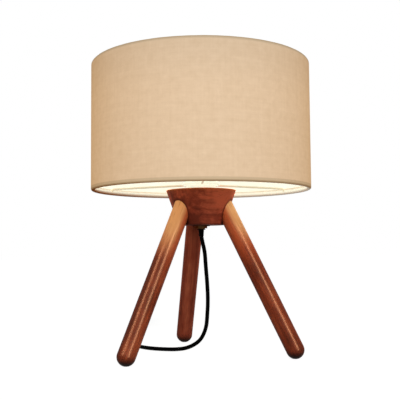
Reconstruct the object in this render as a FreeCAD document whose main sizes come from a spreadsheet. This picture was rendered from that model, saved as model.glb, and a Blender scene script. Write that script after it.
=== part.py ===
import FreeCAD, Part
import math
import os
import re

import Sketcher
from FreeCAD import Placement, Rotation, Vector

# A tripod table lamp: three dowel legs in a turned wooden hub, a drum shade on a wire spider, a screw
# lamp holder with its bulb, and a mains lead with an in-line rocker switch and a flat two-pin plug.
# Millimetres, +Z up. The origin is on the surface that the lamp stands on, under the shade's centre.
# The front is -Y and azimuths run from +X towards +Y. The put-away cord lies behind the front left leg.

os.makedirs("parts", exist_ok=True)
doc = FreeCAD.newDocument("TripodTableLamp")

# ---------------------------------------------------------------- driving sizes
SIZES = [
    # legs
    ("leg_radius", 12.0, "dowel"),
    ("leg_splay", 26.4, "degrees from upright"),
    ("leg_azimuth", 222.4, "front left leg, degrees from +X"),
    ("foot_circle", 127.0, "radius to the centre of each foot's dome"),
    ("foot_flat", 0.4, "height taken off the dome where it stands"),
    ("socket_depth", 12.0, "along the leg, from the hub's face to the seat"),
    ("socket_play", 0.15, "radial gap between leg and socket"),
    ("bolt_radius", 3.0, "hanger bolt"),
    ("bolt_in_leg", 28.0, ""),
    ("bolt_in_insert", 10.0, ""),
    ("insert_radius", 5.0, "threaded insert"),
    ("insert_length", 12.0, ""),
    # hub
    ("hub_base_height", 175.5, "underside above the table"),
    ("hub_height", 48.0, ""),
    ("hub_base_radius", 31.4, ""),
    ("hub_top_radius", 48.1, ""),
    ("hub_edge", 0.6, "rounding of the hub's rims"),
    ("recess_radius", 16.8, "pocket for the holder's cap"),
    ("recess_depth", 18.5, ""),
    # threaded tube and what clamps the hub
    ("tube_radius", 5.0, "M10 x 1"),
    ("tube_bore", 3.9, "radius"),
    ("tube_play", 0.2, "radial gap in the hub"),
    ("tube_below_nut", 1.0, ""),
    ("tube_in_cap", 9.0, ""),
    ("washer_radius", 12.0, "under the hub"),
    ("top_washer_radius", 14.0, "in the recess"),
    ("washer_thickness", 1.2, ""),
    ("nut_flats", 14.0, "across flats"),
    ("nut_thickness", 3.0, ""),
    # lamp holder
    ("cap_radius", 15.4, ""),
    ("cap_wall", 1.6, ""),
    ("cap_floor", 3.0, ""),
    ("cap_height", 19.5, ""),
    ("cap_flare", 3.0, "height of the cone under the rim"),
    ("cap_rim", 2.2, "height of the rim"),
    ("cap_rim_wall", 1.5, ""),
    ("skirt_radius", 19.7, "outer thread"),
    ("skirt_bore", 17.5, "radius"),
    ("skirt_height", 33.0, ""),
    ("shoulder_radius", 23.5, "carries the shade"),
    ("shoulder_thickness", 1.6, ""),
    ("block_height", 10.8, "contact block"),
    ("block_lift", 0.5, "block above the skirt's lower face"),
    ("shell_radius", 14.0, "screw shell"),
    ("shell_wall", 0.4, ""),
    ("shell_height", 20.0, ""),
    ("tongue_height", 1.9, "centre contact"),
    ("tongue_radius", 3.2, ""),
    ("side_contact_width", 4.0, ""),
    ("side_contact_height", 8.0, ""),
    ("terminal_offset", 10.0, "terminal screws from the axis"),
    ("terminal_radius", 1.75, "screw heads"),
    ("terminal_height", 2.0, ""),
    # ring nut that clamps the shade
    ("clamp_gap", 0.1, "between shade ring and its neighbours"),
    ("thread_play", 0.2, "radial gap on the skirt"),
    ("ring_nut_flange", 24.5, "radius"),
    ("ring_nut_flange_height", 1.8, ""),
    ("ring_nut_radius", 22.6, ""),
    ("ring_nut_height", 7.0, ""),
    ("grip_radius", 0.9, "grip flutes"),
    ("grip_count", 24, ""),
    # shade
    ("shade_radius", 150.0, ""),
    ("shade_height", 173.0, ""),
    ("arm_drop", 6.8, "spider's arms above the lower wire"),
    ("fabric_thickness", 0.6, ""),
    ("liner_thickness", 0.5, ""),
    ("ring_wire_radius", 1.5, ""),
    ("wire_play", 0.1, "between wire and liner"),
    ("hem_depth", 9.0, "folded edge inside"),
    ("hem_lie", 7.0, "height where the fold meets the liner"),
    ("seam_width", 12.0, ""),
    ("seam_thickness", 0.4, ""),
    ("fitter_radius", 25.8, "shade ring"),
    ("fitter_play", 0.6, "radial gap round the skirt"),
    ("fitter_thickness", 2.0, ""),
    ("arm_wire_radius", 1.4, ""),
    ("arm_bend", 4.0, "bend radius of each arm's end"),
    ("arm_azimuth", 33.0, "first arm, degrees from +X"),
    ("arm_notch", 4.4, "width of the gap in the hem at an arm"),
    # bulb
    ("bulb_lift", 0.1, "tip above the centre contact"),
    ("bulb_tip_radius", 4.8, ""),
    ("bulb_tip_height", 1.6, ""),
    ("bulb_insulator_height", 3.4, ""),
    ("bulb_cap_radius", 13.2, ""),
    ("bulb_cap_wall", 0.6, ""),
    ("bulb_thread_pitch", 3.6, ""),
    ("bulb_thread_depth", 0.8, ""),
    ("bulb_cap_height", 22.0, ""),
    ("bulb_neck", 34.0, "height of the housing"),
    ("bulb_rim_radius", 27.5, "where globe and housing meet"),
    ("bulb_wall", 1.6, ""),
    ("globe_radius", 30.0, ""),
    ("globe_wall", 1.0, ""),
    ("led_board_radius", 21.0, ""),
    ("led_board_thickness", 1.6, ""),
    ("led_board_drop", 4.0, "below the housing's rim"),
    ("driver_width", 15.0, ""),
    ("driver_length", 26.0, ""),
    # cord and its sleeve
    ("cord_radius", 2.75, ""),
    ("sleeve_in_tube", 14.0, ""),
    ("sleeve_collar_radius", 5.6, ""),
    ("sleeve_collar", 1.0, "height"),
    ("sleeve_nose", 9.0, "length below the collar"),
    ("sleeve_nose_radius", 3.7, ""),
    ("sleeve_tip_radius", 3.15, ""),
    ("riser_above_tube", 1.0, ""),
    ("lead_radius", 1.1, "insulated conductor"),
    ("lead_near", 1.3, "leads from the axis where the sheath ends"),
    ("lead_far", 5.0, "leads from the axis at the contact block"),
    ("lead_rise", 3.0, "straight part at each end of a lead"),
    # in-line switch
    ("switch_length", 58.0, ""),
    ("switch_width", 24.0, ""),
    ("switch_parting", 7.0, "height of the joint between the shells"),
    ("switch_height", 16.0, ""),
    ("switch_wall", 1.6, ""),
    ("switch_corner", 7.0, "corner radius in plan"),
    ("switch_edge", 2.0, "rounding of the top and bottom"),
    ("rocker_length", 16.8, ""),
    ("rocker_width", 9.2, ""),
    ("rocker_depth", 2.2, "below the pin"),
    ("rocker_rise", 5.2, "ends above the pin"),
    ("rocker_crown", 6.2, "middle above the pin"),
    ("rocker_tilt", 8.0, "degrees either way"),
    ("rocker_end_gap", 1.0, "gap at each end of the rocker"),
    ("rocker_side_gap", 0.4, ""),
    ("pin_radius", 1.0, "rocker pin"),
    ("pin_play", 0.05, ""),
    ("pin_height", 11.0, "above the table"),
    ("lug_thickness", 1.6, ""),
    ("lug_drop", 1.9, "lug below the pin"),
    ("screw_radius", 1.25, ""),
    ("screw_head_radius", 2.3, ""),
    ("screw_head_height", 1.4, ""),
    ("screw_length", 10.5, ""),
    ("post_radius", 2.7, ""),
    ("post_across", 7.4, "posts from the centre line"),
    ("post_along", 20.0, "posts from the middle"),
    ("sheath_in_switch", 6.0, ""),
    ("block_width", 4.0, "switch terminals"),
    ("block_length", 5.0, ""),
    ("block_rise", 6.2, ""),
    ("block_from_middle", 11.5, ""),
    ("lead_drop", 0.9, "leads below the joint between the shells"),
    # hank and tie
    ("hank_run", 90.0, "straight length between the folds"),
    ("fold_radius", 15.4, ""),
    ("waist_draw", 4.0, "runs drawn in at the tie"),
    ("waist_lift", 1.3, "runs lifted at the tie"),
    ("layer_step", 6.05, ""),
    ("layer_shift", 2.35, "each layer lies this much to the right"),
    ("hank_loops", 4, ""),
    ("tie_width", 8.0, ""),
    ("tie_thickness", 0.9, ""),
    ("tie_play", 0.09, ""),
    # plug
    ("plug_width", 35.0, ""),
    ("plug_thickness", 13.7, ""),
    ("plug_length", 36.0, ""),
    ("plug_face", 9.0, "length of the wide part"),
    ("plug_tail_width", 13.0, ""),
    ("plug_edge", 2.6, "rounding"),
    ("plug_pin_radius", 2.0, ""),
    ("plug_pin_length", 19.0, ""),
    ("plug_pin_tip", 1.2, "rounding of a pin's tip"),
    ("plug_shank_radius", 1.6, "the pin inside the body"),
    ("plug_pin_depth", 9.0, "inside the body"),
    ("plug_pin_spacing", 19.0, ""),
    ("boot_length", 20.0, ""),
    ("boot_radius", 4.6, ""),
    ("boot_tip_radius", 3.5, ""),
    ("plug_gap", 0.4, "above the fold that it lies on"),
    # where the put-away cord lies
    ("store_x", -107.5, "near end of the switch"),
    ("store_y", 180.0, ""),
    ("store_turn", 2.9, "degrees"),
    ("hank_along", 209.5, "middle of the hank, from the near end of the switch"),
    ("hank_across", -2.3, "middle of its lowest layer"),
    ("plug_along", 243.0, "cord end of the plug"),
    ("plug_across", 8.5, ""),
]

# Sizes that follow from the ones above, as the sheet's own formulas.
FITS = [
    ("foot_height", "leg_radius - foot_flat"),
    ("hub_slope", "(hub_top_radius - hub_base_radius) / hub_height"),
    ("leg_reach", "(foot_circle - hub_base_radius - hub_slope * (foot_height - hub_base_height))"
                  " / (sin(leg_splay) + hub_slope * cos(leg_splay)) + socket_depth"),
    ("socket_radius", "leg_radius + socket_play"),
    ("socket_mouth", "leg_reach - 3 * socket_radius"),
    ("hub_bore", "tube_radius + tube_play"),
    ("recess_floor", "hub_height - recess_depth"),
    ("recess_height", "hub_base_height + recess_floor"),
    ("nut_corner", "nut_flats / sqrt(3)"),
    ("washer_base", "hub_base_height - washer_thickness"),
    ("nut_base", "washer_base - nut_thickness"),
    ("tube_base", "nut_base - tube_below_nut"),
    ("cap_base", "recess_height + washer_thickness + nut_thickness"),
    ("tube_top", "cap_base + tube_in_cap"),
    ("skirt_base", "cap_base + cap_height"),
    ("cap_rim_bore", "skirt_radius - cap_rim_wall"),
    ("block_base", "skirt_base + block_lift"),
    ("block_top", "block_base + block_height"),
    ("fitter_base", "skirt_base + shoulder_thickness + clamp_gap"),
    ("fitter_bore", "skirt_radius + fitter_play"),
    ("arm_height", "fitter_base + fitter_thickness / 2"),
    ("ring_nut_base", "fitter_base + fitter_thickness + clamp_gap"),
    ("ring_nut_bore", "skirt_radius + thread_play"),
    ("liner_radius", "shade_radius - fabric_thickness"),
    ("liner_bore", "liner_radius - liner_thickness"),
    ("wire_circle", "liner_bore - wire_play - ring_wire_radius"),
    ("fold_outer", "shade_radius - wire_circle"),
    ("fold_inner", "fold_outer - fabric_thickness"),
    ("flap_radius", "liner_bore - fabric_thickness"),
    ("bottom_wire_height", "arm_height - arm_drop"),
    ("shade_base_height", "bottom_wire_height - ring_wire_radius - fabric_thickness"),
    ("notch_inside", "wire_circle - 2 * fold_outer"),
    ("top_wire_height", "shade_base_height + shade_height - fabric_thickness - ring_wire_radius"),
    ("bulb_base", "block_top + tongue_height + bulb_lift"),
    ("bulb_cap_base", "bulb_base + bulb_tip_height + bulb_insulator_height"),
    ("bulb_neck_base", "bulb_cap_base + bulb_cap_height"),
    ("bulb_rim_height", "bulb_neck_base + bulb_neck"),
    ("globe_sink", "sqrt(globe_radius ^ 2 - bulb_rim_radius ^ 2)"),
    ("sleeve_base", "tube_base - sleeve_collar"),
    ("cord_exit_height", "sleeve_base - sleeve_nose"),
    ("riser_top", "tube_top + riser_above_tube"),
    ("pin_length", "rocker_width + 2 * (rocker_side_gap + lug_thickness)"),
    ("slot_length", "rocker_length + 2 * rocker_end_gap"),
    ("slot_width", "rocker_width + 2 * rocker_side_gap"),
    ("top_layer_height", "cord_radius + (hank_loops - 1) * layer_step"),
    ("plug_base", "top_layer_height + cord_radius + plug_gap"),
    ("plug_axis", "plug_base + plug_thickness / 2"),
]

sheet = doc.addObject("Spreadsheet::Sheet", "Sizes")
for row, (alias, value, note) in enumerate(SIZES, start=1):
    sheet.set("A%d" % row, alias)
    sheet.set("B%d" % row, str(value))
    sheet.set("C%d" % row, note)
    sheet.setAlias("B%d" % row, alias)
for row, (alias, formula) in enumerate(FITS, start=len(SIZES) + 2):
    sheet.set("A%d" % row, alias)
    sheet.set("B%d" % row, "=" + formula)
    sheet.setAlias("B%d" % row, alias)
doc.recompute()

nodes = {}


# ---------------------------------------------------------------- helpers
def size(alias):
    """One value of the sheet, as a number."""
    return float(sheet.get(alias))


def total(formula):
    """The number that a sum of sheet sizes comes to, such as 'hub_height - hub_edge'."""
    value = 0.0
    sign = 1.0
    for word in formula.replace("+", " + ").replace("-", " - ").split():
        if word in "+-":
            sign = 1.0 if word == "+" else -1.0
        else:
            value += sign * (float(word) if word[0].isdigit() else size(word))
            sign = 1.0
    return value


def in_sheet(formula):
    """The same sum with the sheet's name before each size, for setExpression."""
    return re.sub(r"[A-Za-z_]\w*", r"Sizes.\g<0>", formula)


def keep(shape_object, name):
    """Gives a finished sub-part its name and puts it on the list of nodes."""
    shape_object.Label = name
    nodes[name] = shape_object
    return shape_object


def origin_feature(body, role):
    """One of a body's own origin planes or axes."""
    return [item for item in body.Origin.OriginFeatures if item.Role == role][0]


def arc_between(start, end, radius):
    """The short arc from start to end; a positive radius bulges to the right of the way there."""
    chord = end - start
    middle = (start + end) * 0.5
    reach = math.sqrt(max(radius ** 2 - (chord.Length / 2.0) ** 2, 0.0))
    left = Vector(-chord.y, chord.x, 0).normalize()
    centre = middle + left * (reach if radius > 0 else -reach)
    first, last = (start, end) if radius > 0 else (end, start)
    angles = [math.atan2(p.y - centre.y, p.x - centre.x) for p in (first, last)]
    if angles[1] < angles[0]:
        angles[1] += 2.0 * math.pi
    circle = Part.Circle(centre, Vector(0, 0, 1), abs(radius))
    return Part.ArcOfCircle(circle, angles[0], angles[1])


def bind_place(sketch, edge, end, across, up):
    """Holds one end of an edge at sheet sizes."""
    for kind, formula, axis in (("DistanceX", across, -2), ("DistanceY", up, -1)):
        if formula == "0":
            sketch.addConstraint(Sketcher.Constraint("PointOnObject", edge, end, axis))
        else:
            row = sketch.addConstraint(Sketcher.Constraint(kind, -1, 1, edge, end, total(formula)))
            sketch.setExpression("Constraints[%d]" % row, in_sheet(formula))


def outline(body, name, role, corners):
    """A closed sketch through corners of (across, up); a corner with a third entry, an alias or its
    negative, is reached by an arc of that radius."""
    sketch = body.newObject("Sketcher::SketchObject", name)
    sketch.AttachmentSupport = [(origin_feature(body, role), "")]
    sketch.MapMode = "FlatFace"
    places = [Vector(total(corner[0]), total(corner[1]), 0) for corner in corners]
    first_end = []
    last_end = []
    for number, corner in enumerate(corners):
        start, end = places[number - 1], places[number]
        if len(corner) == 3:
            turned_back = corner[2].startswith("-")
            edge = arc_between(start, end, total(corner[2]))
            first_end.append(2 if turned_back else 1)
            last_end.append(1 if turned_back else 2)
        else:
            edge = Part.LineSegment(start, end)
            first_end.append(1)
            last_end.append(2)
        sketch.addGeometry(edge, False)
    for number, corner in enumerate(corners):
        before = (number - 1) % len(corners)
        sketch.addConstraint(Sketcher.Constraint(
            "Coincident", before, last_end[before], number, first_end[number]))
    for number, corner in enumerate(corners):
        bind_place(sketch, number, last_end[number], corner[0], corner[1])
        if len(corner) == 3:
            formula = corner[2].lstrip("-")
            row = sketch.addConstraint(Sketcher.Constraint("Radius", number, total(formula)))
            sketch.setExpression("Constraints[%d]" % row, in_sheet(formula))
    return sketch


def turned(name, corners, base="0"):
    """A body of revolution about Z from a half section of (radius, height) corners."""
    body = doc.addObject("PartDesign::Body", name)
    section = outline(body, name + "_section", "XZ_Plane", corners)
    turn = body.newObject("PartDesign::Revolution", name + "_turn")
    turn.Profile = section
    turn.ReferenceAxis = (section, ["V_Axis"])
    turn.Angle = 360.0
    body.Tip = turn
    if base != "0":
        body.setExpression("Placement.Base.z", in_sheet(base))
    return body


def rounded(body, name, radius, wanted):
    """Fillets those edges of the body's tip that wanted() picks."""
    doc.recompute()
    tip = body.Tip
    chosen = ["Edge%d" % (n + 1) for n, edge in enumerate(tip.Shape.Edges) if wanted(edge)]
    fillet = body.newObject("PartDesign::Fillet", name)
    fillet.Base = (tip, chosen)
    fillet.setExpression("Radius", in_sheet(radius))
    body.Tip = fillet
    return fillet


def round_pattern(body, feature, count):
    """Repeats a feature round the body's Z axis."""
    pattern = body.newObject("PartDesign::PolarPattern", feature.Name + "_round")
    pattern.Originals = [feature]
    pattern.Axis = (origin_feature(body, "Z_Axis"), [""])
    pattern.Angle = 360.0
    pattern.Occurrences = count
    body.Tip = pattern
    return pattern


def solid_feature(name, shape, placement=Placement()):
    """A sub-part whose shape is worked out here, then placed."""
    feature = doc.addObject("Part::Feature", name)
    feature.Shape = shape
    feature.Placement = placement
    return feature


def cut(name, base, tool):
    result = doc.addObject("Part::Cut", name)
    result.Base = base
    result.Tool = tool
    return result


def box_at(corner, lengths):
    """A plain box from its lowest corner."""
    return Part.makeBox(lengths[0], lengths[1], lengths[2], corner)


def round_bar(start, end, radius):
    """A plain round bar between two points."""
    way = end - start
    return Part.makeCylinder(radius, way.Length, start, way)


def rounded_route(points, share=0.45):
    """Straight runs joined by tangent arcs, each as large as its two runs allow."""
    edges = []
    radii = []
    here = points[0]
    for before, corner, after in zip(points, points[1:], points[2:]):
        back = (before - corner).normalize()
        ahead = (after - corner).normalize()
        half_turn = (math.pi - back.getAngle(ahead)) / 2.0
        shorter = min((before - corner).Length, (after - corner).Length)
        trim = share * shorter
        radius = trim / math.tan(half_turn)
        radii.append(radius)
        inward = (back + ahead).normalize()
        depth = radius / math.cos(half_turn) - radius
        first, last = corner + back * trim, corner + ahead * trim
        edges.append(Part.LineSegment(here, first).toShape())
        edges.append(Part.Arc(first, corner + inward * depth, last).toShape())
        here = last
    edges.append(Part.LineSegment(here, points[-1]).toShape())
    return Part.Wire(edges), radii


def tube_along(wire, radius, start, way):
    """One solid round tube along a wire that starts at start and heads along way."""
    section = Part.Wire([Part.Circle(start, way, radius).toShape()])
    pipe = Part.BRepOffsetAPI.MakePipeShell(wire)
    pipe.add(section)
    pipe.build()
    pipe.makeSolid()
    return pipe.shape()


def cord_tube(name, points, radius):
    """A free stretch of cord through points, with its bends and volume printed."""
    wire, radii = rounded_route(points)
    solid = tube_along(wire, radius, points[0], points[1] - points[0])
    share = solid.Volume / (math.pi * radius ** 2 * wire.Length)
    print("%s: length %.1f, bend radii %s, volume / (section x length) %.4f" % (
        name, wire.Length, " ".join("%.0f" % bend for bend in radii), share))
    return solid


# ---------------------------------------------------------------- legs
LEG_NAMES = ["leg_front_left", "leg_front_right", "leg_rear"]
LEG_STEP = 360.0 / len(LEG_NAMES)


def leg_frame(number):
    """The place of one leg: Z runs up the dowel from the centre of its foot's dome."""
    around = Rotation(Vector(0, 0, 1), size("leg_azimuth") + LEG_STEP * number)
    lean = Rotation(Vector(0, 1, 0), -size("leg_splay"))
    foot = around.multVec(Vector(size("foot_circle"), 0, size("foot_height")))
    return Placement(foot, around.multiply(lean))


def moved_along(frame, distance):
    """A leg's frame, moved up the dowel."""
    return Placement(frame.Base + frame.Rotation.multVec(Vector(0, 0, distance)), frame.Rotation)


below_table = doc.addObject("Part::Box", "BelowTable")
reach_of_feet = 2.0 * (size("foot_circle") + 2.0 * size("leg_radius"))
below_table.Length = reach_of_feet
below_table.Width = reach_of_feet
below_table.Height = size("leg_radius")
below_table.Placement = Placement(
    Vector(-reach_of_feet / 2, -reach_of_feet / 2, -size("leg_radius")), Rotation())

for number, leg_name in enumerate(LEG_NAMES):
    dowel = turned(leg_name + "_dowel", [
        ("0", "0 - leg_radius"),
        ("leg_radius", "0", "leg_radius"),
        ("leg_radius", "leg_reach"),
        ("bolt_radius", "leg_reach"),
        ("bolt_radius", "leg_reach - bolt_in_leg"),
        ("0", "leg_reach - bolt_in_leg"),
    ])
    dowel.Placement = leg_frame(number)
    keep(cut(leg_name, dowel, below_table), leg_name)

seat_frames = [moved_along(leg_frame(n), size("leg_reach")) for n in range(len(LEG_NAMES))]
bolt_shapes = []
insert_shapes = []
for frame in seat_frames:
    bolt_length = size("bolt_in_leg") + size("bolt_in_insert")
    bolt = Part.makeCylinder(size("bolt_radius"), bolt_length, Vector(0, 0, -size("bolt_in_leg")))
    bolt.Placement = frame
    bolt_shapes.append(bolt)
    insert = Part.makeCylinder(size("insert_radius"), size("insert_length"))
    insert = insert.cut(Part.makeCylinder(size("bolt_radius"), size("insert_length")))
    insert.Placement = frame
    insert_shapes.append(insert)
keep(solid_feature("leg_bolts", Part.makeCompound(bolt_shapes)), "leg_bolts")
keep(solid_feature("leg_inserts", Part.makeCompound(insert_shapes)), "leg_inserts")


# ---------------------------------------------------------------- hub
hub = turned("hub_body", [
    ("hub_bore", "0"),
    ("hub_base_radius", "0"),
    ("hub_top_radius", "hub_height"),
    ("recess_radius", "hub_height"),
    ("recess_radius", "recess_floor"),
    ("hub_bore", "recess_floor"),
], "hub_base_height")
rounded(hub, "hub_rims", "hub_edge", lambda edge: (
    len(edge.Vertexes) == 1 and edge.Curve.TypeId == "Part::GeomCircle"
    and edge.Curve.Radius > total("recess_radius + hub_edge")))
socket = outline(hub, "socket_section", "XZ_Plane", [
    ("0", "socket_mouth"),
    ("socket_radius", "socket_mouth"),
    ("socket_radius", "leg_reach"),
    ("insert_radius", "leg_reach"),
    ("insert_radius", "leg_reach + insert_length"),
    ("0", "leg_reach + insert_length"),
])
socket.AttachmentOffset = Placement(
    Vector(size("foot_circle"), total("foot_height - hub_base_height"), 0),
    Rotation(Vector(0, 0, 1), size("leg_splay")))
socket.setExpression("AttachmentOffset.Base.x", "Sizes.foot_circle")
socket.setExpression("AttachmentOffset.Base.y", in_sheet("foot_height - hub_base_height"))
doc.recompute()
whole_hub = hub.Shape.Volume
bore_leg = hub.newObject("PartDesign::Groove", "socket_groove")
bore_leg.Profile = socket
bore_leg.ReferenceAxis = (socket, ["V_Axis"])
bore_leg.Angle = 360.0
hub.Tip = bore_leg
doc.recompute()
round_pattern(hub, bore_leg, len(LEG_NAMES))
hub.Placement = Placement(
    Vector(0, 0, size("hub_base_height")), Rotation(Vector(0, 0, 1), size("leg_azimuth")))
doc.recompute()
print("hub: sockets take %.0f of %.0f mm3" % (whole_hub - hub.Shape.Volume, whole_hub))
keep(hub, "hub")


# ---------------------------------------------------------------- threaded tube, washers and nuts
def washer(name, radius, base):
    keep(turned(name, [
        ("hub_bore", "0"), (radius, "0"), (radius, "washer_thickness"), ("hub_bore", "washer_thickness"),
    ], base), name)


def hexagon_nut(name, base):
    """A thin hexagon nut on the threaded tube."""
    prism = doc.addObject("Part::Prism", name + "_blank")
    prism.Polygon = 6
    prism.setExpression("Circumradius", "Sizes.nut_corner")
    prism.setExpression("Height", "Sizes.nut_thickness")
    bore = doc.addObject("Part::Cylinder", name + "_bore")
    bore.setExpression("Radius", "Sizes.tube_radius")
    bore.setExpression("Height", "Sizes.nut_thickness")
    nut = cut(name, prism, bore)
    nut.setExpression("Placement.Base.z", in_sheet(base))
    keep(nut, name)


tube = turned("threaded_tube", [
    ("tube_bore", "tube_base"), ("tube_radius", "tube_base"),
    ("tube_radius", "tube_top"), ("tube_bore", "tube_top"),
])
keep(tube, "threaded_tube")
washer("base_washer", "washer_radius", "washer_base")
hexagon_nut("base_nut", "nut_base")
washer("top_washer", "top_washer_radius", "recess_height")
hexagon_nut("top_nut", "recess_height + washer_thickness")


# ---------------------------------------------------------------- lamp holder
keep(turned("holder_cap", [
    ("tube_radius", "0"),
    ("cap_radius - hub_edge", "0"),
    ("cap_radius", "hub_edge"),
    ("cap_radius", "cap_height - cap_rim - cap_flare"),
    ("skirt_radius", "cap_height - cap_rim"),
    ("skirt_radius", "cap_height"),
    ("cap_rim_bore", "cap_height"),
    ("cap_rim_bore", "cap_height - cap_rim"),
    ("cap_radius - cap_wall", "cap_height - cap_rim - cap_flare"),
    ("cap_radius - cap_wall", "cap_floor"),
    ("tube_radius", "cap_floor"),
], "cap_base"), "holder_cap")

keep(turned("holder_skirt", [
    ("skirt_bore", "0"),
    ("shoulder_radius", "0"),
    ("shoulder_radius", "shoulder_thickness"),
    ("skirt_radius", "shoulder_thickness"),
    ("skirt_radius", "skirt_height"),
    ("skirt_bore", "skirt_height"),
], "skirt_base"), "holder_skirt")

keep(turned("contact_block", [
    ("0", "block_base"), ("skirt_bore", "block_base"), ("skirt_bore", "block_top"), ("0", "block_top"),
]), "contact_block")

keep(turned("holder_shell", [
    ("shell_radius - shell_wall", "0"),
    ("shell_radius", "0"),
    ("shell_radius", "shell_height"),
    ("shell_radius - shell_wall", "shell_height"),
], "block_top"), "holder_shell")

keep(turned("centre_contact", [
    ("0", "0"), ("tongue_radius", "0"), ("tongue_radius", "tongue_height - shell_wall"),
    ("tongue_radius - shell_wall", "tongue_height"), ("0", "tongue_height"),
], "block_top"), "centre_contact")

side_contact = Part.makeCylinder(
    size("shell_radius") + 2.0 * size("shell_wall"), size("side_contact_height"))
side_contact = side_contact.cut(Part.makeCylinder(size("shell_radius"), size("side_contact_height")))
side_contact = side_contact.common(box_at(
    Vector(0, -size("side_contact_width") / 2, 0),
    (size("skirt_bore"), size("side_contact_width"), size("side_contact_height"))))
keep(solid_feature("side_contact", side_contact,
                   Placement(Vector(0, 0, size("block_top")), Rotation())), "side_contact")

terminal_shapes = [
    Part.makeCylinder(size("terminal_radius"), size("terminal_height"),
                      Vector(side * size("terminal_offset"), 0, total("block_base - terminal_height")))
    for side in (-1, 1)]
keep(solid_feature("holder_terminals", Part.makeCompound(terminal_shapes)), "holder_terminals")

ring_nut = turned("ring_nut_body", [
    ("ring_nut_bore", "0"),
    ("ring_nut_flange", "0"),
    ("ring_nut_flange", "ring_nut_flange_height"),
    ("ring_nut_radius", "ring_nut_flange_height"),
    ("ring_nut_radius", "ring_nut_height"),
    ("ring_nut_bore", "ring_nut_height"),
], "ring_nut_base")
doc.recompute()
flute_plan = ring_nut.newObject("Sketcher::SketchObject", "flute_plan")
flute_plan.AttachmentSupport = [(origin_feature(ring_nut, "XY_Plane"), "")]
flute_plan.MapMode = "FlatFace"
flute_plan.addGeometry(Part.Circle(
    Vector(size("ring_nut_radius"), 0, 0), Vector(0, 0, 1), size("grip_radius")), False)
flute_plan.addConstraint(Sketcher.Constraint("PointOnObject", 0, 3, -1))
for kind, alias in (("DistanceX", "ring_nut_radius"), ("Radius", "grip_radius")):
    if kind == "Radius":
        row = flute_plan.addConstraint(Sketcher.Constraint(kind, 0, size(alias)))
    else:
        row = flute_plan.addConstraint(Sketcher.Constraint(kind, -1, 1, 0, 3, size(alias)))
    flute_plan.setExpression("Constraints[%d]" % row, in_sheet(alias))
flute_plan.AttachmentOffset = Placement(Vector(0, 0, size("ring_nut_height")), Rotation())
flute_plan.setExpression("AttachmentOffset.Base.z", in_sheet("ring_nut_height"))
doc.recompute()
flute = ring_nut.newObject("PartDesign::Pocket", "grip_flute")
flute.Profile = flute_plan
flute.setExpression("Length", in_sheet("ring_nut_height - ring_nut_flange_height"))
ring_nut.Tip = flute
doc.recompute()
plain_nut_volume = ring_nut.Shape.Volume
round_pattern(ring_nut, flute, int(size("grip_count")))
doc.recompute()
print("ring nut: flutes take %.0f mm3" % (plain_nut_volume - ring_nut.Shape.Volume))
keep(ring_nut, "ring_nut")


# ---------------------------------------------------------------- shade
SPIDER_ARMS = 3
fabric = turned("fabric_drum", [
    ("shade_radius", "shade_height - fold_outer"),
    ("wire_circle", "shade_height", "fold_outer"),
    ("wire_circle - fold_outer", "shade_height - fold_outer", "fold_outer"),
    ("flap_radius", "shade_height - hem_lie"),
    ("flap_radius", "shade_height - hem_depth"),
    ("liner_bore", "shade_height - hem_depth"),
    ("liner_bore", "shade_height - hem_lie"),
    ("wire_circle - fold_inner", "shade_height - fold_outer"),
    ("wire_circle", "shade_height - fabric_thickness", "-fold_inner"),
    ("liner_radius", "shade_height - fold_outer", "-fold_inner"),
    ("liner_radius", "fold_outer"),
    ("wire_circle", "fabric_thickness", "-fold_inner"),
    ("wire_circle - fold_inner", "fold_outer", "-fold_inner"),
    ("liner_bore", "hem_lie"),
    ("liner_bore", "hem_depth"),
    ("flap_radius", "hem_depth"),
    ("flap_radius", "hem_lie"),
    ("wire_circle - fold_outer", "fold_outer"),
    ("wire_circle", "0", "fold_outer"),
    ("shade_radius", "fold_outer", "fold_outer"),
], "shade_base_height")
notch_blanks = []
for number in range(SPIDER_ARMS):
    notch = doc.addObject("Part::Box", "hem_notch_%d" % (number + 1))
    notch.setExpression("Length", in_sheet("liner_bore - notch_inside"))
    notch.setExpression("Width", in_sheet("arm_notch"))
    notch.setExpression("Height", in_sheet("hem_depth + arm_wire_radius - fabric_thickness"))
    turn = Rotation(Vector(0, 0, 1), size("arm_azimuth") + 360.0 / SPIDER_ARMS * number)
    corner = Vector(size("notch_inside"), -size("arm_notch") / 2,
                    total("shade_base_height + fold_outer"))
    notch.Placement = Placement(turn.multVec(corner), turn)
    notch_blanks.append(notch)
notches = doc.addObject("Part::Compound", "HemNotches")
notches.Links = notch_blanks
keep(cut("shade_fabric", fabric, notches), "shade_fabric")

keep(turned("shade_liner", [
    ("liner_bore", "fold_outer"),
    ("liner_radius", "fold_outer"),
    ("liner_radius", "shade_height - fold_outer"),
    ("liner_bore", "shade_height - fold_outer"),
], "shade_base_height"), "shade_liner")

seam = Part.makeCylinder(size("liner_bore"), total("shade_height - hem_depth - hem_depth"))
seam = seam.cut(Part.makeCylinder(total("liner_bore - seam_thickness"), total("shade_height")))
seam = seam.common(box_at(Vector(-size("seam_width") / 2, 0, 0),
                          (size("seam_width"), size("shade_radius"), size("shade_height"))))
keep(solid_feature("liner_seam", seam, Placement(
    Vector(0, 0, total("shade_base_height + hem_depth")), Rotation())), "liner_seam")

for ring_name, ring_height in (("shade_top_ring", "top_wire_height"),
                               ("shade_bottom_ring", "bottom_wire_height")):
    ring = doc.addObject("Part::Torus", ring_name)
    ring.setExpression("Radius1", in_sheet("wire_circle"))
    ring.setExpression("Radius2", in_sheet("ring_wire_radius"))
    ring.setExpression("Placement.Base.z", in_sheet(ring_height))
    keep(ring, ring_name)

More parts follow.
